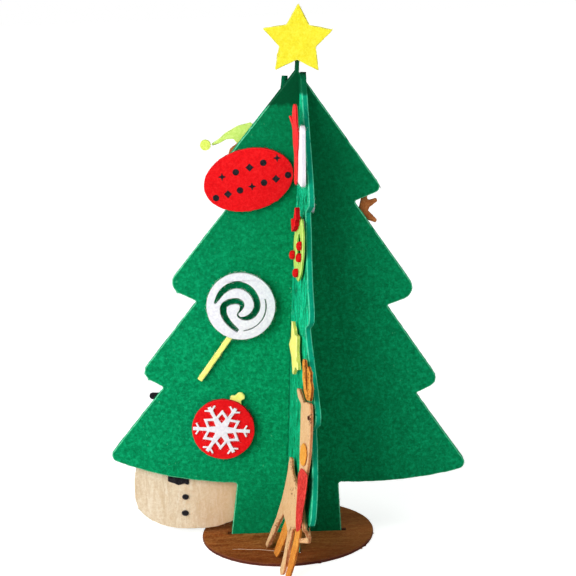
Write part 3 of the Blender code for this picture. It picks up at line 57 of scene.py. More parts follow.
# ---------------------------------------------------------------------------------------------------------
# Camera: fitted to the outlines of the two panels and of the base
# ---------------------------------------------------------------------------------------------------------
PICTURE = 576.0  # the picture's width and height in pixels
FOCAL = 2097.93  # in pixels
SENSOR = 36
FOOT_X = -0.002443
LEAN = math.radians(3.4)
EYE = (-0.00215, -1.05397, 0.41074)  # from the foot, in the leaning tree's own frame
LOOK_DOWN = 0.25467
ROLL = 0.02153
VIEW = (
    Matrix.Translation((FOOT_X, 0.0, 0.0))
    @ Matrix.Rotation(LEAN, 4, "Y")
    @ Matrix.Translation(EYE)
    @ Matrix.Rotation(math.pi / 2 - LOOK_DOWN, 4, "X")
    @ Matrix.Rotation(ROLL, 4, "Z")
)

scene = bpy.context.scene
cam_data = bpy.data.cameras.new("camera")
cam_data.sensor_width = SENSOR
cam_data.lens = FOCAL / PICTURE * SENSOR
cam_data.clip_end = 10
cam = bpy.data.objects.new("camera", cam_data)
cam.matrix_world = VIEW
scene.collection.objects.link(cam)
scene.camera = cam
scene.view_settings.view_transform = "Standard"


def through(u, v):
    """The ray through a point of the picture, in pixels from its upper left corner."""
    way = Vector(((u - PICTURE / 2) / FOCAL, (PICTURE / 2 - v) / FOCAL, -1.0))
    return VIEW.translation, (VIEW.to_3x3() @ way).normalized()


# ---------------------------------------------------------------------------------------------------------
# Materials
# ---------------------------------------------------------------------------------------------------------
def srgb(r, g, b):
    """A colour as a shader wants it, from its picture values."""
    out = []
    for value in (r, g, b):
        c = value / 255
        out.append(c / 12.92 if c <= 0.04045 else ((c + 0.055) / 1.055) ** 2.4)
    return (*out, 1.0)


class Nodes:
    """A few short calls to build the node tree of a material or a world."""

    def __init__(self, owner):
        self.owner = owner
        owner.use_nodes = True
        self.tree = owner.node_tree
        self.tree.nodes.clear()

    def add(self, kind, **values):
        node = self.tree.nodes.new(kind)
        for key, value in values.items():
            setattr(node, key, value)
        return node

    def put(self, socket, value):
        """Links a socket to another, or sets its value."""
        if isinstance(value, bpy.types.NodeSocket):
            self.tree.links.new(value, socket)
        else:
            socket.default_value = value

    def where(self, stretch=(1, 1, 1)):
        """Object coordinates, stretched."""
        coord = self.add("ShaderNodeTexCoord")
        turn = self.add("ShaderNodeMapping")
        turn.inputs["Scale"].default_value = stretch
        self.put(turn.inputs["Vector"], coord.outputs["Object"])
        return turn.outputs["Vector"]

    def noise(self, where, scale, detail=3.0, rough=0.6, swirl=0.0):
        node = self.add("ShaderNodeTexNoise")
        self.put(node.inputs["Vector"], where)
        node.inputs["Scale"].default_value = scale
        node.inputs["Detail"].default_value = detail
        node.inputs["Roughness"].default_value = rough
        node.inputs["Distortion"].default_value = swirl
        return node.outputs["Fac"]

    def span(self, value, low, high, to_low=0.0, to_high=1.0):
        """A value mapped from one range to another, and held within it."""
        node = self.add("ShaderNodeMapRange", clamp=True)
        self.put(node.inputs["Value"], value)
        node.inputs["From Min"].default_value = low
        node.inputs["From Max"].default_value = high
        node.inputs["To Min"].default_value = to_low
        node.inputs["To Max"].default_value = to_high
        return node.outputs["Result"]

    def mix(self, share, a, b):
        """Colour a, and as much of colour b over it as share says."""
        node = self.add("ShaderNodeMix", data_type="RGBA")
        self.put(node.inputs["Factor"], share)
        self.put(node.inputs[6], a)
        self.put(node.inputs[7], b)
        return node.outputs[2]

    def math(self, how, a, b):
        node = self.add("ShaderNodeMath", operation=how)
        self.put(node.inputs[0], a)
        self.put(node.inputs[1], b)
        return node.outputs[0]

    def mark(self, name):
        """A face value of the mesh."""
        node = self.add("ShaderNodeAttribute", attribute_name=name)
        return node.outputs["Fac"]

    def bump(self, strength, distance, height):
        node = self.add("ShaderNodeBump")
        node.inputs["Strength"].default_value = strength
        node.inputs["Distance"].default_value = distance
        self.put(node.inputs["Height"], height)
        return node.outputs["Normal"]

    def seen(self):
        """1 for the rays that show what they meet: camera, glossy and transmission rays."""
        rays = self.add("ShaderNodeLightPath")
        either = self.math("MAXIMUM", rays.outputs["Is Camera Ray"], rays.outputs["Is Glossy Ray"])
        return self.math("MAXIMUM", either, rays.outputs["Is Transmission Ray"])

    def finish(self, surface, kind="ShaderNodeOutputMaterial"):
        out = self.add(kind)
        self.put(out.inputs["Surface"], surface)
        return self.owner


# How fine each kind of detail is, to the metre
FIBRE_SCALE = 1500
RAGGED_SCALE = 700
SPECK_SCALE = 640
RELIEF_SCALE = 420
WAVY_SCALE = 160

# The range of a noise in which each kind of detail comes in
BLOTCH_AT = (0.36, 0.66)
MOTTLE_DEEP_AT = (0.34, 0.5)
MOTTLE_PALE_AT = (0.5, 0.68)
NAP_AT = (0.52, 0.74)
NAP_ROUGH_AT = (0.4, 0.75)
STREAK_PALE_AT = (0.5, 0.62)
STREAK_DEEP_AT = (0.38, 0.5)
SPECK_AT = (0.73, 0.79)
RAGGED_AT = (0.3, 0.62)
MIDDLE = (0.3, 0.7)

NAP_SHARE = 0.7
SECOND_STREAK = 0.66
# The painted shadow over the panels' tops: how dark it is, how its lower line waves, how soft its side is
TOP_SHADOW_SHARE = 0.92
WAVE_OF_TOP = 1.4 * MM
SOFT_SIDE_OF_TOP = 2 * MM
TOP_FROM, TOP_TO = -1.2 * MM, 0.6 * MM
WALL_SHARE = (0.72, 1.0)
LIP_SHARE = (0.2, 0.85)
BUMP_DEPTH = 0.25 * MM


def paint_top_shadow(n, color, here, split, height, shade, far_side):
    """Painted shadow over the top of a panel: darker colour above a wavy line, to the left of a plane."""
    wave = n.span(n.noise(here, WAVY_SCALE, 2), *MIDDLE, -WAVE_OF_TOP, WAVE_OF_TOP)
    wavy = n.math("ADD", split.outputs["Z"], wave)
    left = n.span(split.outputs["X"], far_side - SOFT_SIDE_OF_TOP, far_side + SOFT_SIDE_OF_TOP, 1, 0)
    above = n.span(wavy, height + TOP_FROM, height + TOP_TO, 0, TOP_SHADOW_SHARE)
    return n.mix(n.math("MULTIPLY", above, left), color, srgb(*shade))


def felt(
    name, colors, blotch, grain, mottling=680, stroke=(0.3, 1.0, 1.0), nap_scale=1150, streak=0.0,
    streak_form=((1.0, 1.0, 0.12), 700), speck=0.0, speck_color=None, fades=(), painted_top_shadow=None, bump=0.5,
):
    """Pressed wool: blotches, mottling, short fibres, streaks, flecks, and a cut edge of a colour of its own,
    set dark on some pieces to paint the shade along the edge.

    colors are the base, a deeper and a paler one, the cut edge's and its lip's. blotch is scale and share.
    Each fade is an axis, where it starts and is full, its share and its colour; most fades paint light or
    shade, noted at each look. The top-shadow option paints a shadow over the top of a panel.
    """
    base, deep, pale, wall, lip = (srgb(*color) for color in colors)
    n = Nodes(bpy.data.materials.new(name))
    here = n.where()
    color = n.mix(n.span(n.noise(here, blotch[0], 3, 0.6, 0.4), *BLOTCH_AT, 0, blotch[1]), base, deep)
    mottle = n.noise(here, mottling, 3, 0.7, 0.5)
    color = n.mix(n.span(mottle, *MOTTLE_DEEP_AT, grain, 0), color, deep)
    color = n.mix(n.span(mottle, *MOTTLE_PALE_AT, 0, grain), color, pale)
    fibre = n.noise(n.where((1.0, 1.0, 0.35)), FIBRE_SCALE, 3, 0.75, 1.2)
    hair = n.noise(n.where(stroke), nap_scale, 3, 0.75, 1.6)
    nap = n.math("MAXIMUM", fibre, hair)
    color = n.mix(n.span(nap, *NAP_AT, 0, NAP_SHARE * grain), color, pale)
    if streak:
        stretch, size = streak_form
        lines = n.noise(n.where(stretch), size, 5, 0.8, 0.3)
        color = n.mix(n.span(lines, *STREAK_PALE_AT, 0, streak), color, pale)
        dark_lines = n.noise(n.where(stretch), SECOND_STREAK * size, 4, 0.75)
        color = n.mix(n.span(dark_lines, *STREAK_DEEP_AT, streak, 0), color, deep)
    if speck:
        flecks = n.noise(n.where((1.0, 1.0, 0.6)), SPECK_SCALE, 1, 0.4)
        color = n.mix(n.span(flecks, *SPECK_AT, 0, speck), color, srgb(*speck_color))
    split = n.add("ShaderNodeSeparateXYZ")
    n.put(split.inputs[0], here)
    # Fades: colour along an axis, most of them painted light or shade
    for axis, start, end, share, shade in fades:
        color = n.mix(n.span(split.outputs[axis], start, end, 0, share), color, srgb(*shade))
    ragged = n.span(n.noise(here, RAGGED_SCALE, 3, 0.7), *RAGGED_AT)
    color = n.mix(n.math("MULTIPLY", n.mark("wall"), n.span(ragged, 0, 1, *WALL_SHARE)), color, wall)
    color = n.mix(n.math("MULTIPLY", n.mark("lip"), n.span(ragged, 0, 1, *LIP_SHARE)), color, lip)
    # A painted shadow over the top of the panel
    if painted_top_shadow:
        color = paint_top_shadow(n, color, here, split, *painted_top_shadow)
    shader = n.add("ShaderNodeBsdfPrincipled")
    n.put(shader.inputs["Base Color"], color)
    shader.inputs["Specular IOR Level"].default_value = 0.06
    shader.inputs["Sheen Weight"].default_value = 0.04
    shader.inputs["Sheen Roughness"].default_value = 0.45
    shader.inputs["Sheen Tint"].default_value = pale
    n.put(shader.inputs["Roughness"], n.span(nap, *NAP_ROUGH_AT, 1.0, 0.84))
    relief = n.math("ADD", nap, n.span(n.noise(here, RELIEF_SCALE, 3, 0.65), *MIDDLE, 0, 0.9))
    n.put(shader.inputs["Normal"], n.bump(bump, BUMP_DEPTH, relief))
    return n.finish(shader.outputs["BSDF"])


WHITE = (255, 255, 255)

# By node, or by the record's slot: the material's name, its colours and what felt() takes
LOOKS = {
    "tree_panel_wide": (
        "felt_green_wide",
        ((0, 140, 87), (0, 98, 57), (16, 182, 120), (10, 150, 104), (112, 220, 172)),
        dict(
            blotch=(120, 0.3), grain=0.66, mottling=540, speck=0.35, speck_color=(90, 200, 145), bump=0.7,
            # A painted shadow over the panel's top; the fades are painted shade, darker towards the top,
            # towards the foot and on the right wing in the fin's shadow
            painted_top_shadow=(0.2322, (0, 68, 38), 0.0145),
            fades=(
                ("Z", 0.11, 0.24, 0.7, (0, 100, 58)),
                ("Z", 0.045, 0.012, 0.4, (0, 100, 58)),
                ("X", 0.004, 0.012, 0.17, (0, 70, 34)),
            ),
        ),
    ),
    # Both panels are in the felt_green slot; the cross panel's colours are set paler and brighter, partly its
    # own paler teal and partly painted light on the fin's lit face
    "tree_panel_cross": (
        "felt_green_cross",
        ((0, 168, 114), (0, 112, 72), (26, 228, 168), (4, 144, 112), (96, 214, 172)),
        dict(
            blotch=(110, 0.3), grain=1.0, mottling=780, streak=1.0, streak_form=((1.0, 1.0, 0.6), 250),
            # A painted shadow over the fin's top, and a fade of painted shade that darkens the fin's lower
            # part
            speck=0.5, speck_color=(170, 236, 200), bump=0.9, painted_top_shadow=(0.2392, (0, 84, 48), 0.05),
            fades=(("Z", 0.125, 0.09, 0.35, (0, 138, 76)),),
        ),
    ),
    "felt_brown": (
        "felt_brown",
        ((160, 85, 36), (112, 52, 16), (196, 130, 72), (80, 38, 34), (112, 64, 46)),
        dict(
            blotch=(60, 0.6), grain=0.6, streak=0.62, streak_form=((0.16, 1.0, 1.0), 420),
            speck=0.4, speck_color=(210, 156, 100), bump=0.7, stroke=(0.16, 0.8, 1.0), nap_scale=560,
            # Painted light on the base's right end, and painted shade along its front
            fades=(("X", 0.0, 0.05, 0.55, (176, 108, 56)), ("Y", -0.014, -0.034, 0.5, (96, 36, 8))),
        ),
    ),
    "felt_yellow": (
        "felt_yellow",
        ((237, 226, 52), (226, 206, 34), (246, 240, 82), (208, 196, 60), (255, 250, 120)),
        dict(blotch=(150, 0.4), grain=0.6),
    ),
    "felt_pale_yellow": (
        "felt_pale_yellow",
        ((251, 251, 132), (240, 238, 98), (255, 255, 184), (204, 204, 92), (255, 255, 172)),
        dict(blotch=(160, 0.4), grain=0.4),
    ),
    "felt_red": (
        "felt_red",
        ((228, 19, 25), (204, 8, 16), (242, 42, 44), (168, 8, 18), (232, 50, 50)),
        dict(blotch=(140, 0.3), grain=0.55),
    ),
    "felt_berry": (
        "felt_berry",
        ((222, 20, 22), (150, 6, 10), (240, 70, 60), (150, 6, 10), (226, 24, 24)),
        dict(blotch=(600, 0.6), grain=0.25),
    ),
    "felt_white": (
        "felt_white",
        ((237, 234, 243), (218, 214, 230), (252, 251, 255), (196, 194, 208), WHITE),
        dict(blotch=(170, 0.3), grain=0.6),
    ),
    "felt_lime": (
        "felt_lime",
        ((192, 230, 104), (160, 206, 74), (222, 246, 150), (132, 180, 58), (216, 244, 140)),
        dict(blotch=(170, 0.4), grain=0.5),
    ),
    "felt_pale_lime": (
        "felt_pale_lime",
        ((220, 240, 100), (196, 222, 78), (240, 250, 160), (176, 204, 70), (240, 250, 150)),
        dict(blotch=(170, 0.5), grain=0.5),
    ),
    "felt_tan": (
        "felt_tan",
        ((234, 190, 138), (216, 162, 108), (246, 214, 172), (172, 102, 62), (206, 146, 96)),
        dict(blotch=(150, 0.4), grain=0.5, speck=0.8, speck_color=(118, 64, 38)),
    ),
    # The cut edge's dark colour is painted shade along the edges of these pieces
    "felt_orange": (
        "felt_orange",
        ((242, 166, 62), (220, 130, 42), (252, 196, 104), (120, 50, 18), (214, 132, 54)),
        dict(blotch=(170, 0.4), grain=0.5),
    ),
    "felt_copper": (
        "felt_copper",
        ((184, 108, 58), (146, 76, 38), (214, 146, 94), (110, 52, 26), (196, 124, 76)),
        dict(blotch=(170, 0.6), grain=0.5),
    ),
    "felt_cream": (
        "felt_cream",
        ((230, 210, 181), (206, 178, 142), (246, 235, 216), (196, 160, 118), (240, 224, 196)),
        dict(
            # Painted shadow: darker towards the trunk, where the wide panel shades the snowman
            blotch=(60, 0.5), grain=0.45, streak=0.5, fades=(("X", -0.058, -0.026, 0.75, (206, 160, 114)),),
        ),
    ),
    # The mitten's red is set brighter than the other reds: partly its own lighter red, partly painted light
    # against the shade it gets
    "mitten_body": (
        "felt_red_mitten",
        ((255, 48, 50), (232, 22, 28), (255, 104, 102), (176, 8, 18), (240, 60, 60)),
        dict(blotch=(140, 0.4), grain=0.55),
    ),
    # The trim's white is set brighter than the other white felt: partly its own whiter white, partly painted
    # light against the shade on its rounded side
    "mitten_trim": (
        "felt_white_trim",
        ((254, 252, 254), (240, 236, 244), WHITE, (226, 222, 230), WHITE),
        dict(blotch=(170, 0.3), grain=0.5),
    ),
    "deer_far_legs": (
        "felt_orange_legs",
        ((246, 168, 62), (196, 104, 34), (254, 200, 108), (120, 50, 18), (186, 98, 36)),
        dict(blotch=(260, 0.5), grain=0.6, streak=0.6, fades=(("Z", 0.024, 0.004, 0.4, (206, 104, 34)),)),
    ),
    "deer_scarf": (
        "felt_red_scarf",
        ((228, 46, 42), (150, 18, 18), (248, 104, 92), (150, 18, 18), (232, 80, 70)),
        dict(blotch=(260, 0.55), grain=0.8),
    ),
    "gingerbread_hat": (
        "felt_lime_hat",
        ((206, 239, 118), (178, 218, 88), (232, 250, 160), (140, 186, 60), (228, 250, 160)),
        dict(blotch=(170, 0.4), grain=0.5),
    ),
    "deer_nose": (
        "felt_dark_nose",
        ((84, 44, 36), (52, 26, 24), (120, 72, 58), (50, 26, 24), (100, 58, 46)),
        dict(blotch=(170, 0.5), grain=0.4),
    ),
    "felt_black": (
        "felt_black",
        ((34, 32, 36), (16, 15, 18), (74, 70, 76), (24, 22, 26), (70, 66, 72)),
        dict(blotch=(170, 0.5), grain=0.4),
    ),
    "hook_pad": (
        "hook_pad",
        ((210, 210, 208), (180, 180, 178), WHITE, (170, 170, 168), (220, 220, 218)),
        dict(blotch=(900, 0.9), grain=0.5),
    ),
}
FELTS = {key: felt(name, colors, **options) for key, (name, colors, options) in LOOKS.items()}


# ---------------------------------------------------------------------------------------------------------
# Meshes and pieces
# ---------------------------------------------------------------------------------------------------------
def to_mesh(bm, name):
    mesh = bpy.data.meshes.new(name)
    bm.to_mesh(mesh)
    bm.free()
    return mesh


def new_object(name, mesh):
    obj = bpy.data.objects.new(name, mesh)
    scene.collection.objects.link(obj)
    return obj


def stand_for(piece, node, material):
    """Gives a piece its material, and puts it in the place of a CAD node."""
    piece.data.materials.clear()
    piece.data.materials.append(material)
    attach(piece, "root")
    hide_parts(node)
    return piece


def add_detail(name, mesh, material):
    """A piece that stands for no node."""
    mesh.materials.append(material)
    detail = new_object(name, mesh)
    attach(detail, "root")


def add_marks(mesh, lips, walls):
    """Face values that tell the material which faces are cut edge and which are its lip."""
    for name, values in (("lip", lips), ("wall", walls)):
        mark = mesh.attributes.new(name, "FLOAT", "FACE")
        mark.data.foreach_set("value", values)


def add_no_marks(mesh):
    none = [0.0] * len(mesh.polygons)
    add_marks(mesh, none, none)


# ---------------------------------------------------------------------------------------------------------
# Felt pieces: each is cut along its node's outline, with a slightly uneven, softly rounded cut edge
# ---------------------------------------------------------------------------------------------------------
# Lengths in millimetres, and how fine the two waves are, to the millimetre
STEP = 1.6
MOST_CUTS = 150
ROUGH, ROUND_OFF = 0.3, 0.35
THICK_ROUND_OFF = 0.5
FINE_ROUGH, FINE_ROUND_OFF = 0.15, 0.2
SLOW_WAVE, QUICK_WAVE = 0.26, 0.9

SAME_PLACE = 1e-7
FLAT = 0.72  # a face belongs to the sheet's flat sides if it looks along the sheet's normal more than this


def sheet_normal(bm):
    """The direction that most of a sheet faces, to either side."""
    spread = np.zeros((3, 3))
    for face in bm.faces:
        n = np.array(face.normal)
        spread += face.calc_area() * np.outer(n, n)
    return Vector(np.linalg.eigh(spread)[1][:, 2])


def by_wide_slot(co):
    """Near the wide panel's halving slot, which leans with the tree. In millimetres, as the next two."""
    return abs(co.x - 0.0594 * co.z - 0.7) < 4.5 and 1.5 < co.z < 130


def by_cross_slot(co):
    """Near the cross panel's halving slot."""
    return abs(co.y) < 4.5 and co.z > 100


def by_base_slots(co):
    """Near the two slots of the base."""
    return min(abs(co.x + 2), abs(co.y)) < 7 and math.hypot(co.x + 2, co.y) < 42


# Where felt is held in felt the cut stays straight and sharp
TIGHT = {"tree_panel_wide": by_wide_slot, "tree_panel_cross": by_cross_slot, "base_disc": by_base_slots}


def flat_faces(bm, across):
    return {f for f in bm.faces if abs(f.normal.dot(across)) > FLAT}


def find_rims(bm, flat, tight):
    """The edges between a flat side and the cut, without those where the cut stays sharp."""
    return [
        e for e in bm.edges
        if len(e.link_faces) == 2 and (e.link_faces[0] in flat) != (e.link_faces[1] in flat)
        and not (tight and all(tight(v.co) for v in e.verts))
    ]


def cut_edge(bm, across, rough, round_off, tight):
    """Makes the rims of a sheet uneven, inwards only, and rounds them off. Gives the rounded faces."""
    for edge in find_rims(bm, flat_faces(bm, across), tight):
        cuts = int(edge.calc_length() / STEP)
        if cuts:
            bmesh.ops.subdivide_edges(bm, edges=[edge], cuts=min(cuts, MOST_CUTS))
    bm.normal_update()
    flat = flat_faces(bm, across)
    moves = {}
    for edge in find_rims(bm, flat, tight):
        side = edge.link_faces[0] if edge.link_faces[1] in flat else edge.link_faces[1]
        for vert in edge.verts:
            moves.setdefault(vert, Vector())
            moves[vert] += side.normal
    for vert, away in moves.items():
        away -= across * away.dot(across)
        if away.length < 1e-6:
            continue
        away.normalize()
        wave = 0.5 * noise.noise(vert.co * SLOW_WAVE) + 0.5 * noise.noise(vert.co * QUICK_WAVE)
        vert.co -= away * rough * max(0.0, 0.5 + wave)
    made = bmesh.ops.bevel(
        bm, geom=find_rims(bm, flat, tight), offset=round_off, offset_type="OFFSET", segments=2, profile=0.5,
        affect="EDGES", clamp_overlap=False,
    )
    bm.normal_update()
    return set(made["faces"])


def smooth_out(obj, across, rims):
    """Normals weighted by area, applied to the mesh, and square to the sheet on all faces but its rims."""
    obj.modifiers.new("even", "WEIGHTED_NORMAL").weight = 100
    bpy.context.view_layer.update()
    shaped = bpy.data.meshes.new_from_object(obj.evaluated_get(bpy.context.evaluated_depsgraph_get()))
    normals = np.zeros(3 * len(shaped.loops))
    shaped.corner_normals.foreach_get("vector", normals)
    normals = normals.reshape(-1, 3)
    for face, rim in zip(shaped.polygons, rims):
        if not rim:
            corners = slice(face.loop_start, face.loop_start + face.loop_total)
            normals[corners] = math.copysign(1, face.normal.dot(across)) * across
    shaped.normals_split_custom_set(normals.tolist())
    obj.modifiers.clear()
    old = obj.data
    obj.data = shaped
    bpy.data.meshes.remove(old)


def ease(value, start, end):
    """From 0 at start to 1 at end, with soft ends."""
    t = min(1.0, max(0.0, (value - start) / (end - start)))
    return t * t * (3 - 2 * t)


# How some pieces have settled: each function moves a point that stands out from the piece's middle by out
SNOWMAN_MIDDLE = -0.0598
SNOWMAN_HALF_WIDTH = 0.023
SNOWMAN_FULLER = 1.28
MITTEN_FAR_FROM, MITTEN_FAR_TO = (corner[1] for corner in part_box("mitten_body"))


def settle_snowman(co, out):
    """Fuller towards the trunk, where the wide panel hides its side, and flatter below."""
    if co.x > SNOWMAN_MIDDLE:
        co.x = SNOWMAN_MIDDLE + (co.x - SNOWMAN_MIDDLE) * SNOWMAN_FULLER
    low = ease(co.z, 0.021, 0.002)
    left = max(0.0, (SNOWMAN_MIDDLE - co.x) / SNOWMAN_HALF_WIDTH)
    co.z += low * (1.7 + 1.4 * left) * MM


def puff_bow(co, out):
    """The bow's outer side stands up in a lump."""
    if out > 0:
        co.x -= 1.3 * MM


def curl_mitten(co, out):
    """The mitten stands away from the panel, most of all at its two tips and their far edge."""
    far = (co.y - MITTEN_FAR_FROM) / (MITTEN_FAR_TO - MITTEN_FAR_FROM)
    co.x -= (0.5 + ease(co.z, 0.2215, 0.231) * (1.1 + 1.5 * far)) * MM


def puff_trim(co, out):
    """The white band is a thick roll."""
    if out > 0:
        co.x -= 1.1 * MM


BENT = {"wreath_bow": puff_bow, "mitten_body": curl_mitten, "mitten_trim": puff_trim}
SETTLED = {"snowman_body": settle_snowman, **BENT}


def settle(bm, name, across):
    middle = sum((v.co for v in bm.verts), Vector()) / len(bm.verts)
    outward = across if across.x < 0 else -across
    for vert in bm.verts:
        SETTLED[name](vert.co, (vert.co - middle).dot(outward))
    bm.normal_update()


def felt_piece(name, material, rough=ROUGH, round_off=ROUND_OFF):
    """A piece of felt in the place of a CAD node. Its edge is cut at a scale of millimetres."""
    bm = bmesh.new()
    bm.from_mesh(frame["nodes"][name].data)
    bmesh.ops.remove_doubles(bm, verts=bm.verts, dist=SAME_PLACE)
    bmesh.ops.scale(bm, vec=(1 / MM, 1 / MM, 1 / MM), verts=bm.verts)
    across = sheet_normal(bm)
    lips = cut_edge(bm, across, rough, round_off, TIGHT.get(name))
    flat = [f for f in bm.faces if len(f.verts) > 4 and f not in lips]
    made = bmesh.ops.triangulate(bm, faces=flat, quad_method="BEAUTY", ngon_method="EAR_CLIP")
    bmesh.ops.beautify_fill(bm, faces=made["faces"], edges=made["edges"], method="AREA")
    bmesh.ops.scale(bm, vec=(MM, MM, MM), verts=bm.verts)
    low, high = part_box(name)
    for vert in bm.verts:
        vert.co = Vector(min(max(c, a), b) for c, a, b in zip(vert.co, low, high))
    if name in SETTLED:
        settle(bm, name, across)
    for vert in bm.verts:
        vert.co.z = max(vert.co.z, 0.0)
    lip_values = [1.0 if f in lips else 0.0 for f in bm.faces]
    wall_values = [1.0 if f not in lips and abs(f.normal.dot(across)) <= FLAT else 0.0 for f in bm.faces]
    for face in bm.faces:
        face.smooth = True
    mesh = to_mesh(bm, "felt_" + name)
    add_marks(mesh, lip_values, wall_values)
    piece = new_object("felt_" + name, mesh)
    smooth_out(piece, across, [name in BENT or lip or wall for lip, wall in zip(lip_values, wall_values)])
    return stand_for(piece, name, material)


def soft_lump(name, material):
    """A small pressed ball in the place of a CAD node."""
    mesh = frame["nodes"][name].data.copy()
    mesh.name = "felt_" + name
    for face in mesh.polygons:
        face.use_smooth = True
    add_no_marks(mesh)
    return stand_for(new_object("felt_" + name, mesh), name, material)


LUMPS = ("wreath_berry", "gingerbread_pom_pom")
THICK = ("tree_panel_wide", "tree_panel_cross", "base_disc")
FINE = ("bauble_snowflake", "lollipop_disc")
pieces = {}
for part in frame["record"]["subparts"]:
    node, slot = part["node"], part["material_slot"]
    material = FELTS.get(node) or FELTS[slot]
    if node.startswith(LUMPS):
        pieces[node] = soft_lump(node, material)
    elif node in THICK:
        pieces[node] = felt_piece(node, material, round_off=THICK_ROUND_OFF)
    elif node in FINE:
        pieces[node] = felt_piece(node, material, FINE_ROUGH, FINE_ROUND_OFF)
    else:
        pieces[node] = felt_piece(node, material)

# ---------------------------------------------------------------------------------------------------------
# Loose fibres: thin closed hairs along the cut edges, and a few that lie on the faces
# ---------------------------------------------------------------------------------------------------------
HAIR_SIDES = 3
HAIR_RADII = (1.0, 0.8, 0.3)
ROOT_DEPTH = 0.1
LOWEST = 0.05 * MM
TO_SQUARE_CM = 1e4
NO_AREA = 1e-12

# How far a hair stands up from its face
UP_FROM_EDGE = 1.0
UP_FROM_FACE = 0.18
UP_FROM_LINE = 0.16


def grow(root, way, lie, name, material, length, thick, rng):
    """Hairs from their roots, each along its way out and to a random side. A low lie keeps it by the face."""
    count = len(root)
    drift = rng.normal(size=(count, 3))
    drift -= way * (drift * way).sum(1)[:, None]
    drift /= np.linalg.norm(drift, axis=1)[:, None]
    size = length * (0.4 + 0.9 * rng.random(count))[:, None]
    lift = lie[:, None] * (0.35 + 0.65 * rng.random(count))[:, None]
    curl = rng.normal(size=(count, 3)) * 0.35
    points = (
        root - way * ROOT_DEPTH * MM,
        root + size * 0.5 * (way * lift + drift * 0.8) + size * curl * 0.15,
        root + size * (way * lift * 0.75 + drift) + size * curl * 0.5,
    )
    side = np.cross(way, drift)
    up = np.cross(drift, side)
    rings = []
    for point, r in zip(points, HAIR_RADII):
        for k in range(HAIR_SIDES):
            angle = 2 * math.pi * k / HAIR_SIDES
            rings.append(point + thick * r * (side * math.cos(angle) + up * math.sin(angle)))
    co = np.stack(rings, axis=1)
    co[:, :, 2] = np.maximum(co[:, :, 2], LOWEST)
    per = co.shape[1]
    faces = []
    for ring in range(len(points) - 1):
        for k in range(HAIR_SIDES):
            low, high = ring * HAIR_SIDES, (ring + 1) * HAIR_SIDES
            following = (k + 1) % HAIR_SIDES
            faces.append((low + k, low + following, high + following, high + k))
    faces.append((2, 1, 0))
    faces.append((2 * HAIR_SIDES, 2 * HAIR_SIDES + 1, 2 * HAIR_SIDES + 2))
    all_faces = [tuple(i * per + j for j in face) for i in range(count) for face in faces]
    mesh = bpy.data.meshes.new(name)
    mesh.from_pydata(co.reshape(-1, 3), [], all_faces)
    for face in mesh.polygons:
        face.use_smooth = True
    add_detail(name, mesh, material)


def hairs(sources, name, material, on_edge, on_face, length, thick, seed):
    """One piece of hairs over some pieces. on_edge and on_face are how many to each square centimetre."""
    rng = np.random.default_rng(seed)
    roots, ways, lies = [], [], []
    for source in sources:
        mesh = source.data
        mesh.calc_loop_triangles()
        co = np.array([v.co for v in mesh.vertices])
        tris = np.array([t.vertices[:] for t in mesh.loop_triangles])
        owner = np.array([t.polygon_index for t in mesh.loop_triangles])
        marks = np.zeros((2, len(mesh.polygons)))
        for row, mark in enumerate(("lip", "wall")):
            mesh.attributes[mark].data.foreach_get("value", marks[row])
        edge = marks.max(axis=0)[owner] > 0.5
        a, b, c = co[tris[:, 0]], co[tris[:, 1]], co[tris[:, 2]]
        cross = np.cross(b - a, c - a)
        area = np.linalg.norm(cross, axis=1) / 2
        for kind, density, lie in ((edge, on_edge, UP_FROM_EDGE), (~edge, on_face, UP_FROM_FACE)):
            picked = np.where(kind & (area > NO_AREA))[0]
            count = int(density * area[picked].sum() * TO_SQUARE_CM)
            if count == 0:
                continue
            which = rng.choice(picked, count, p=area[picked] / area[picked].sum())
            s, t = rng.random(count), rng.random(count)
            over = s + t > 1
            s[over], t[over] = 1 - s[over], 1 - t[over]
            roots.append(a[which] + (b - a)[which] * s[:, None] + (c - a)[which] * t[:, None])
            ways.append(cross[which] / (2 * area[which])[:, None])
            lies.append(np.full(count, lie))
    grow(np.concatenate(roots), np.concatenate(ways), np.concatenate(lies), name, material,
         length, thick, rng)


def hair_material(name, color, other):
    """The loose hairs' own colour, a little different from place to place."""
    n = Nodes(bpy.data.materials.new(name))
    tone = n.mix(n.span(n.noise(n.where(), 900, 2), 0.35, 0.65), srgb(*color), srgb(*other))
    shader = n.add("ShaderNodeBsdfPrincipled")
    n.put(shader.inputs["Base Color"], tone)
    shader.inputs["Roughness"].default_value = 0.8
    shader.inputs["Specular IOR Level"].default_value = 0.1
    n.put(shader.inputs["Normal"], n.bump(0.2, 0.02 * MM, n.noise(n.where(), 4000, 1)))
    return n.finish(shader.outputs["BSDF"])


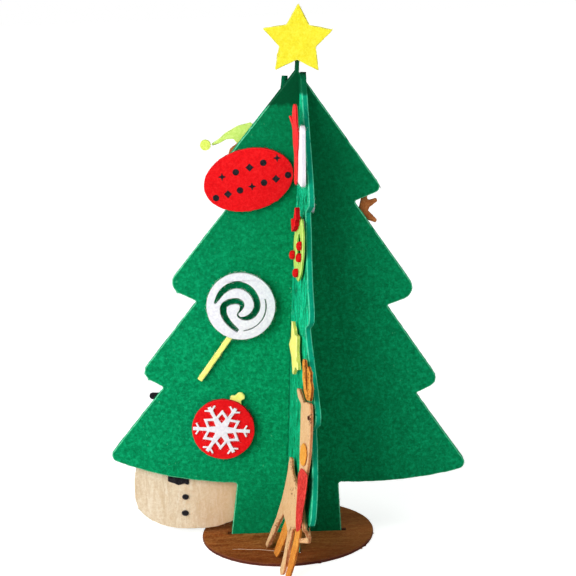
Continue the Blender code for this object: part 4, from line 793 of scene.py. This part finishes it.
# Piece, slot, nodes, two colours, how many on a square centimetre of edge and of face, length, thickness
HAIRS = (
    ("hairs_green", "felt_green", ("tree_panel_wide", "tree_panel_cross"),
     ((60, 185, 130), (20, 140, 95)), 28, 1.2, 1.3, 0.035),
    ("hairs_brown", "felt_brown", ("base_disc",), ((190, 140, 100), (120, 76, 48)), 26, 3, 1.3, 0.035),
    ("hairs_yellow", "felt_yellow", ("star",), ((255, 250, 150), (250, 240, 80)), 110, 3, 0.9, 0.03),
    ("hairs_pale_yellow", "felt_pale_yellow", ("lollipop_stick", "bauble_cap", "small_star"),
     ((255, 255, 160), (250, 246, 110)), 60, 8, 1.0, 0.035),
    ("hairs_red", "felt_red", ("sign_plate", "bauble_disc", "mitten_body", "wreath_bow", "deer_scarf"),
     ((250, 70, 70), (220, 20, 30)), 40, 3, 0.9, 0.03),
    ("hairs_white", "felt_white", ("lollipop_disc", "bauble_snowflake", "mitten_trim", "snowball_disc"),
     (WHITE, (240, 240, 246)), 120, 3, 1.2, 0.035),
    ("hairs_lime", "felt_lime", ("wreath_ring", "gingerbread_hat"),
     ((225, 245, 150), (190, 225, 100)), 50, 6, 0.9, 0.03),
    ("hairs_tan", "felt_tan", ("deer_body",), ((240, 205, 160), (190, 120, 75)), 50, 6, 0.9, 0.03),
    ("hairs_orange", "felt_orange", ("deer_far_legs", "deer_antlers", "deer_saddle"),
     ((250, 190, 110), (190, 110, 50)), 50, 6, 0.9, 0.03),
    ("hairs_cream", "felt_cream", ("snowman_body",), ((255, 246, 228), (232, 208, 170)), 50, 2, 1.1, 0.035),
    ("hairs_copper", "felt_copper", ("gingerbread_body", "deer_head_face", "deer_head_antlers"),
     ((215, 150, 100), (140, 80, 45)), 40, 4, 0.9, 0.03),
    ("hairs_black", "felt_black", ("snowman_hat", "snowman_tie", "snowman_button_1", "snowman_button_2"),
     ((70, 66, 72), (40, 38, 42)), 50, 6, 0.8, 0.03),
    ("hairs_pom_pom", "felt_pale_lime", ("gingerbread_pom_pom",),
     ((240, 250, 150), (215, 235, 100)), 0, 260, 1.2, 0.035),
)
for index, (name, slot, nodes, tones, on_edge, on_face, length, thick) in enumerate(HAIRS):
    hairs([pieces[node] for node in nodes], name, hair_material(name, *tones), on_edge, on_face,
          length * MM, thick * MM, SEED + index)

trees = {}


def on_piece(node, u, v):
    """The point of a piece that shows at a picture point, and its normal, or nothing."""
    if node not in trees:
        mesh = pieces[node].data
        corners = [vert.co for vert in mesh.vertices]
        trees[node] = BVHTree.FromPolygons(corners, [face.vertices for face in mesh.polygons])
    spot, normal, _, _ = trees[node].ray_cast(*through(u, v))
    return spot, normal


# Short fibres that lie on a piece along lines of the picture. Piece, node, slot, two colours, how many, how
# far to the side in pixels, length, thickness, lines
FLECKS = (
    ("fuzz_slot", "tree_panel_wide", "felt_green", ((2, 152, 96), (0, 124, 76)), 1300, 0.4, 1.2, 0.06,
     (((291.0, 316), (290.0, 360), (288.4, 420), (286.7, 470), (285.8, 525)),)),
    ("fuzz_slot_pale", "tree_panel_wide", "felt_green", ((150, 225, 185), (70, 190, 140)), 60, 0.4, 1.1, 0.06,
     (((289.8, 369), (288.6, 452)), ((291.5, 286), (291.3, 306)))),
    # Dark fibres along the antlers' split: painted shade where the prongs' cut edges are in shade
    ("shade_flecks_antlers", "deer_antlers", "felt_copper", ((116, 48, 16), (164, 82, 32)), 230, 0.7, 1.0, 0.11,
     (((304.2, 362), (305.4, 380), (307.2, 402)), ((307.6, 370), (308.0, 402)),
      ((308.6, 371), (308.4, 400)))),
    ("flecks_face", "deer_body", "felt_copper", ((96, 46, 32), (140, 82, 54)), 60, 0.6, 0.9, 0.14,
     (((310.2, 415), (310.6, 424)), ((309.6, 417), (310.0, 423)))),
    ("flecks_back", "deer_body", "felt_copper", ((110, 62, 38), (150, 92, 58)), 110, 0.5, 0.8, 0.13,
     (((290.6, 487), (290.9, 489)), ((293.0, 489), (293.3, 491)), ((291.6, 492), (292, 494)),
      ((294.4, 495), (294.7, 497)), ((290.6, 460), (291.6, 470)), ((292.8, 475), (297, 488)))),
    ("flecks_hind_leg", "deer_body", "felt_copper", ((146, 82, 46), (190, 130, 86)), 320, 1.1, 1.1, 0.11,
     (((279.5, 519), (275, 534), (268.5, 549)), ((281, 520), (276.5, 534), (270, 548)))),
    ("flecks_fore_leg", "deer_body", "felt_copper", ((142, 80, 46), (192, 132, 88)), 300, 0.9, 1.1, 0.11,
     (((293.6, 526), (291.4, 545), (287.6, 568)), ((294.6, 530), (292.4, 548), (289.2, 570)))),
    ("flecks_far_legs", "deer_far_legs", "felt_copper", ((192, 112, 44), (220, 142, 62)), 240, 1.0, 1.1, 0.09,
     (((284.5, 524), (279.5, 540), (275.2, 555)), ((297.5, 532), (295, 552), (291, 572)))),
    ("flecks_base", "base_disc", "felt_brown", ((150, 88, 42), (120, 66, 28)), 120, 0.6, 1.3, 0.08,
     (((226.5, 533.6), (231.8, 533.8)),)),
)


def line_length(line):
    return sum(math.dist(a, b) for a, b in zip(line, line[1:]))


def along(line, far):
    """The point of a line at a distance from its start."""
    for a, b in zip(line, line[1:]):
        step = math.dist(a, b)
        if far <= step:
            break
        far -= step
    share = min(1.0, far / step)
    return a[0] + (b[0] - a[0]) * share, a[1] + (b[1] - a[1]) * share


for index, (name, node, slot, tones, count, spread, length, thick, lines) in enumerate(FLECKS):
    rng = np.random.default_rng(FLECK_SEED + index)
    sizes = [line_length(line) for line in lines]
    roots, ways = [], []
    for line, size in zip(lines, sizes):
        for _ in range(max(1, int(count * size / sum(sizes)))):
            u, v = along(line, rng.random() * size)
            shift = rng.normal(size=2) * spread
            spot, normal = on_piece(node, u + shift[0], v + shift[1])
            if spot is not None:
                roots.append(spot)
                ways.append(normal)
    grow(np.array(roots), np.array(ways), np.full(len(roots), UP_FROM_LINE), name,
         hair_material(name, *tones), length * MM, thick * MM, rng)


def add_ring(bm, points):
    return [bm.verts.new(point) for point in points]


def join_rings(bm, rings):
    """Closes a row of rings of points into a solid."""
    for low, high in zip(rings, rings[1:]):
        for k in range(len(low)):
            following = (k + 1) % len(low)
            bm.faces.new((low[k], low[following], high[following], high[k]))
    bm.faces.new(rings[0][::-1])
    bm.faces.new(rings[-1])


# One pale stray fibre lies on the base, in front of the trunk
STRAY = ((232, 549.5), (241, 549.3), (250, 549.8), (259, 549.7), (267, 550.4), (276, 551.3), (284, 551.7))
STRAY_SIDES = 6
STRAY_RADIUS = 0.11 * MM
bm = bmesh.new()
rings = []
for index, (u, v) in enumerate(STRAY):
    spot, _ = on_piece("base_disc", u, v)
    thin = STRAY_RADIUS * (0.5 if index in (0, len(STRAY) - 1) else 1.0)
    angles = [2 * math.pi * k / STRAY_SIDES for k in range(STRAY_SIDES)]
    rings.append(add_ring(bm, (spot + Vector((0, math.cos(a), 1 + math.sin(a))) * thin for a in angles)))
join_rings(bm, rings)
bmesh.ops.recalc_face_normals(bm, faces=bm.faces)
add_detail("stray_fibre", to_mesh(bm, "stray_fibre"),
           hair_material("stray_fibre", (238, 214, 190), (214, 178, 146)))

# ---------------------------------------------------------------------------------------------------------
# The sign's two slanted rows of small plain motifs
# ---------------------------------------------------------------------------------------------------------
MOTIF_SIZE = 1.7 * MM
MOTIF_RISE = ((-0.1 * MM, 1.0), (0.1 * MM, 1.0), (0.2 * MM, 0.8))  # how far up, and what share of the outline
POINTED = 1.25  # how much further out than a dot the points of the others reach
WAIST = {"diamond": 0.62 * 1.1, "star": 0.4}


def front_plane(piece, way):
    """A point and the normal of a flat piece's face, on the side that looks against way."""
    best, area = None, 0.0
    for face in piece.data.polygons:
        if face.normal.dot(way) < -0.5 and face.area > area:
            best, area = face, face.area
    return best.center.copy(), best.normal.copy()


def motif_points(kind):
    """The outline of a dot, a diamond or a four-pointed star, in its own plane."""
    if kind == "dot":
        radii = [MOTIF_SIZE] * 16
    else:
        radii = [MOTIF_SIZE * POINTED * (1.0 if k % 2 == 0 else WAIST[kind]) for k in range(8)]
    angles = [2 * math.pi * k / len(radii) for k in range(len(radii))]
    return [(r * math.cos(angle), r * math.sin(angle)) for r, angle in zip(radii, angles)]


def motif_row(bm, start, end, kinds, piece):
    """Raised motifs on a piece's face, evenly from one point of the picture to another."""
    for index, kind in enumerate(kinds):
        share = index / (len(kinds) - 1)
        eye, way = through(start[0] + (end[0] - start[0]) * share, start[1] + (end[1] - start[1]) * share)
        center, normal = front_plane(piece, way)
        spot = eye + way * ((center - eye).dot(normal) / way.dot(normal))
        right = (Vector((1, 0, 0)) - normal * normal.x).normalized()
        up = normal.cross(right)
        if up.z < 0:
            up = -up
        rings = []
        for lift, size in MOTIF_RISE:
            outline = (spot + normal * lift + (right * x + up * z) * size for x, z in motif_points(kind))
            rings.append(add_ring(bm, outline))
        join_rings(bm, rings)


bm = bmesh.new()
motif_row(bm, (222, 177), (277, 158), ("star", "dot", "diamond", "dot", "star"), pieces["sign_plate"])
motif_row(bm, (216, 198), (288, 175), ("dot", "diamond", "dot", "star", "dot", "diamond", "dot"),
          pieces["sign_plate"])
bmesh.ops.recalc_face_normals(bm, faces=bm.faces)
mesh = to_mesh(bm, "sign_motifs")
add_no_marks(mesh)
add_detail("sign_motifs", mesh, FELTS["felt_black"])

# ---------------------------------------------------------------------------------------------------------
# Floor, world and lights
# ---------------------------------------------------------------------------------------------------------
FLOOR_HALF_SIZE = 2.2
FLOOR_GLOW, FAR_GLOW = 0.68, 0.8  # what makes the floor white to the eye, near the tree and far off
FAR_FROM, FAR_TO = 0.5, 1.1
WORLD_LIGHT, WORLD_WHITE = 0.32, 1.0

n = Nodes(bpy.data.materials.new("floor"))
diffuse = n.add("ShaderNodeBsdfDiffuse")
tint = n.mix(n.span(n.noise(n.where(), 3, 2), *MIDDLE), (0.8, 0.8, 0.8, 1), (0.82, 0.82, 0.82, 1))
n.put(diffuse.inputs["Color"], tint)
glow = n.add("ShaderNodeEmission")
far_off = n.add("ShaderNodeVectorMath", operation="LENGTH")
n.put(far_off.inputs[0], n.where())
strength = n.span(far_off.outputs["Value"], FAR_FROM, FAR_TO, FLOOR_GLOW, FAR_GLOW)
n.put(glow.inputs["Strength"], n.math("MULTIPLY", n.seen(), strength))
both = n.add("ShaderNodeAddShader")
n.put(both.inputs[0], diffuse.outputs[0])
n.put(both.inputs[1], glow.outputs[0])
bm = bmesh.new()
bmesh.ops.create_grid(bm, x_segments=4, y_segments=4, size=FLOOR_HALF_SIZE)
mesh = to_mesh(bm, "floor")
mesh.materials.append(n.finish(both.outputs[0]))
new_object("floor", mesh)

n = Nodes(bpy.data.worlds.new("studio"))
choose = n.add("ShaderNodeMixShader")
n.put(choose.inputs[0], n.seen())
for socket, strength in ((choose.inputs[1], WORLD_LIGHT), (choose.inputs[2], WORLD_WHITE)):
    background = n.add("ShaderNodeBackground")
    background.inputs["Color"].default_value = (1, 1, 1, 1)
    background.inputs["Strength"].default_value = strength
    n.put(socket, background.outputs[0])
scene.world = n.finish(choose.outputs[0], "ShaderNodeOutputWorld")


def area_light(name, place, aim, size, power):
    """A soft square light that looks at a point."""
    data = bpy.data.lights.new(name, "AREA")
    data.shape = "SQUARE"
    data.size = size
    data.energy = power
    light = new_object(name, data)
    light.location = place
    light.rotation_euler = (Vector(aim) - Vector(place)).to_track_quat("-Z", "Y").to_euler()


area_light("key", (-0.95, -1.15, 0.8), (0.0, 0.0, 0.12), 1.2, 26.0)
area_light("top", (0.6, -0.4, 1.2), (0.0, 0.0, 0.05), 0.7, 3.6)
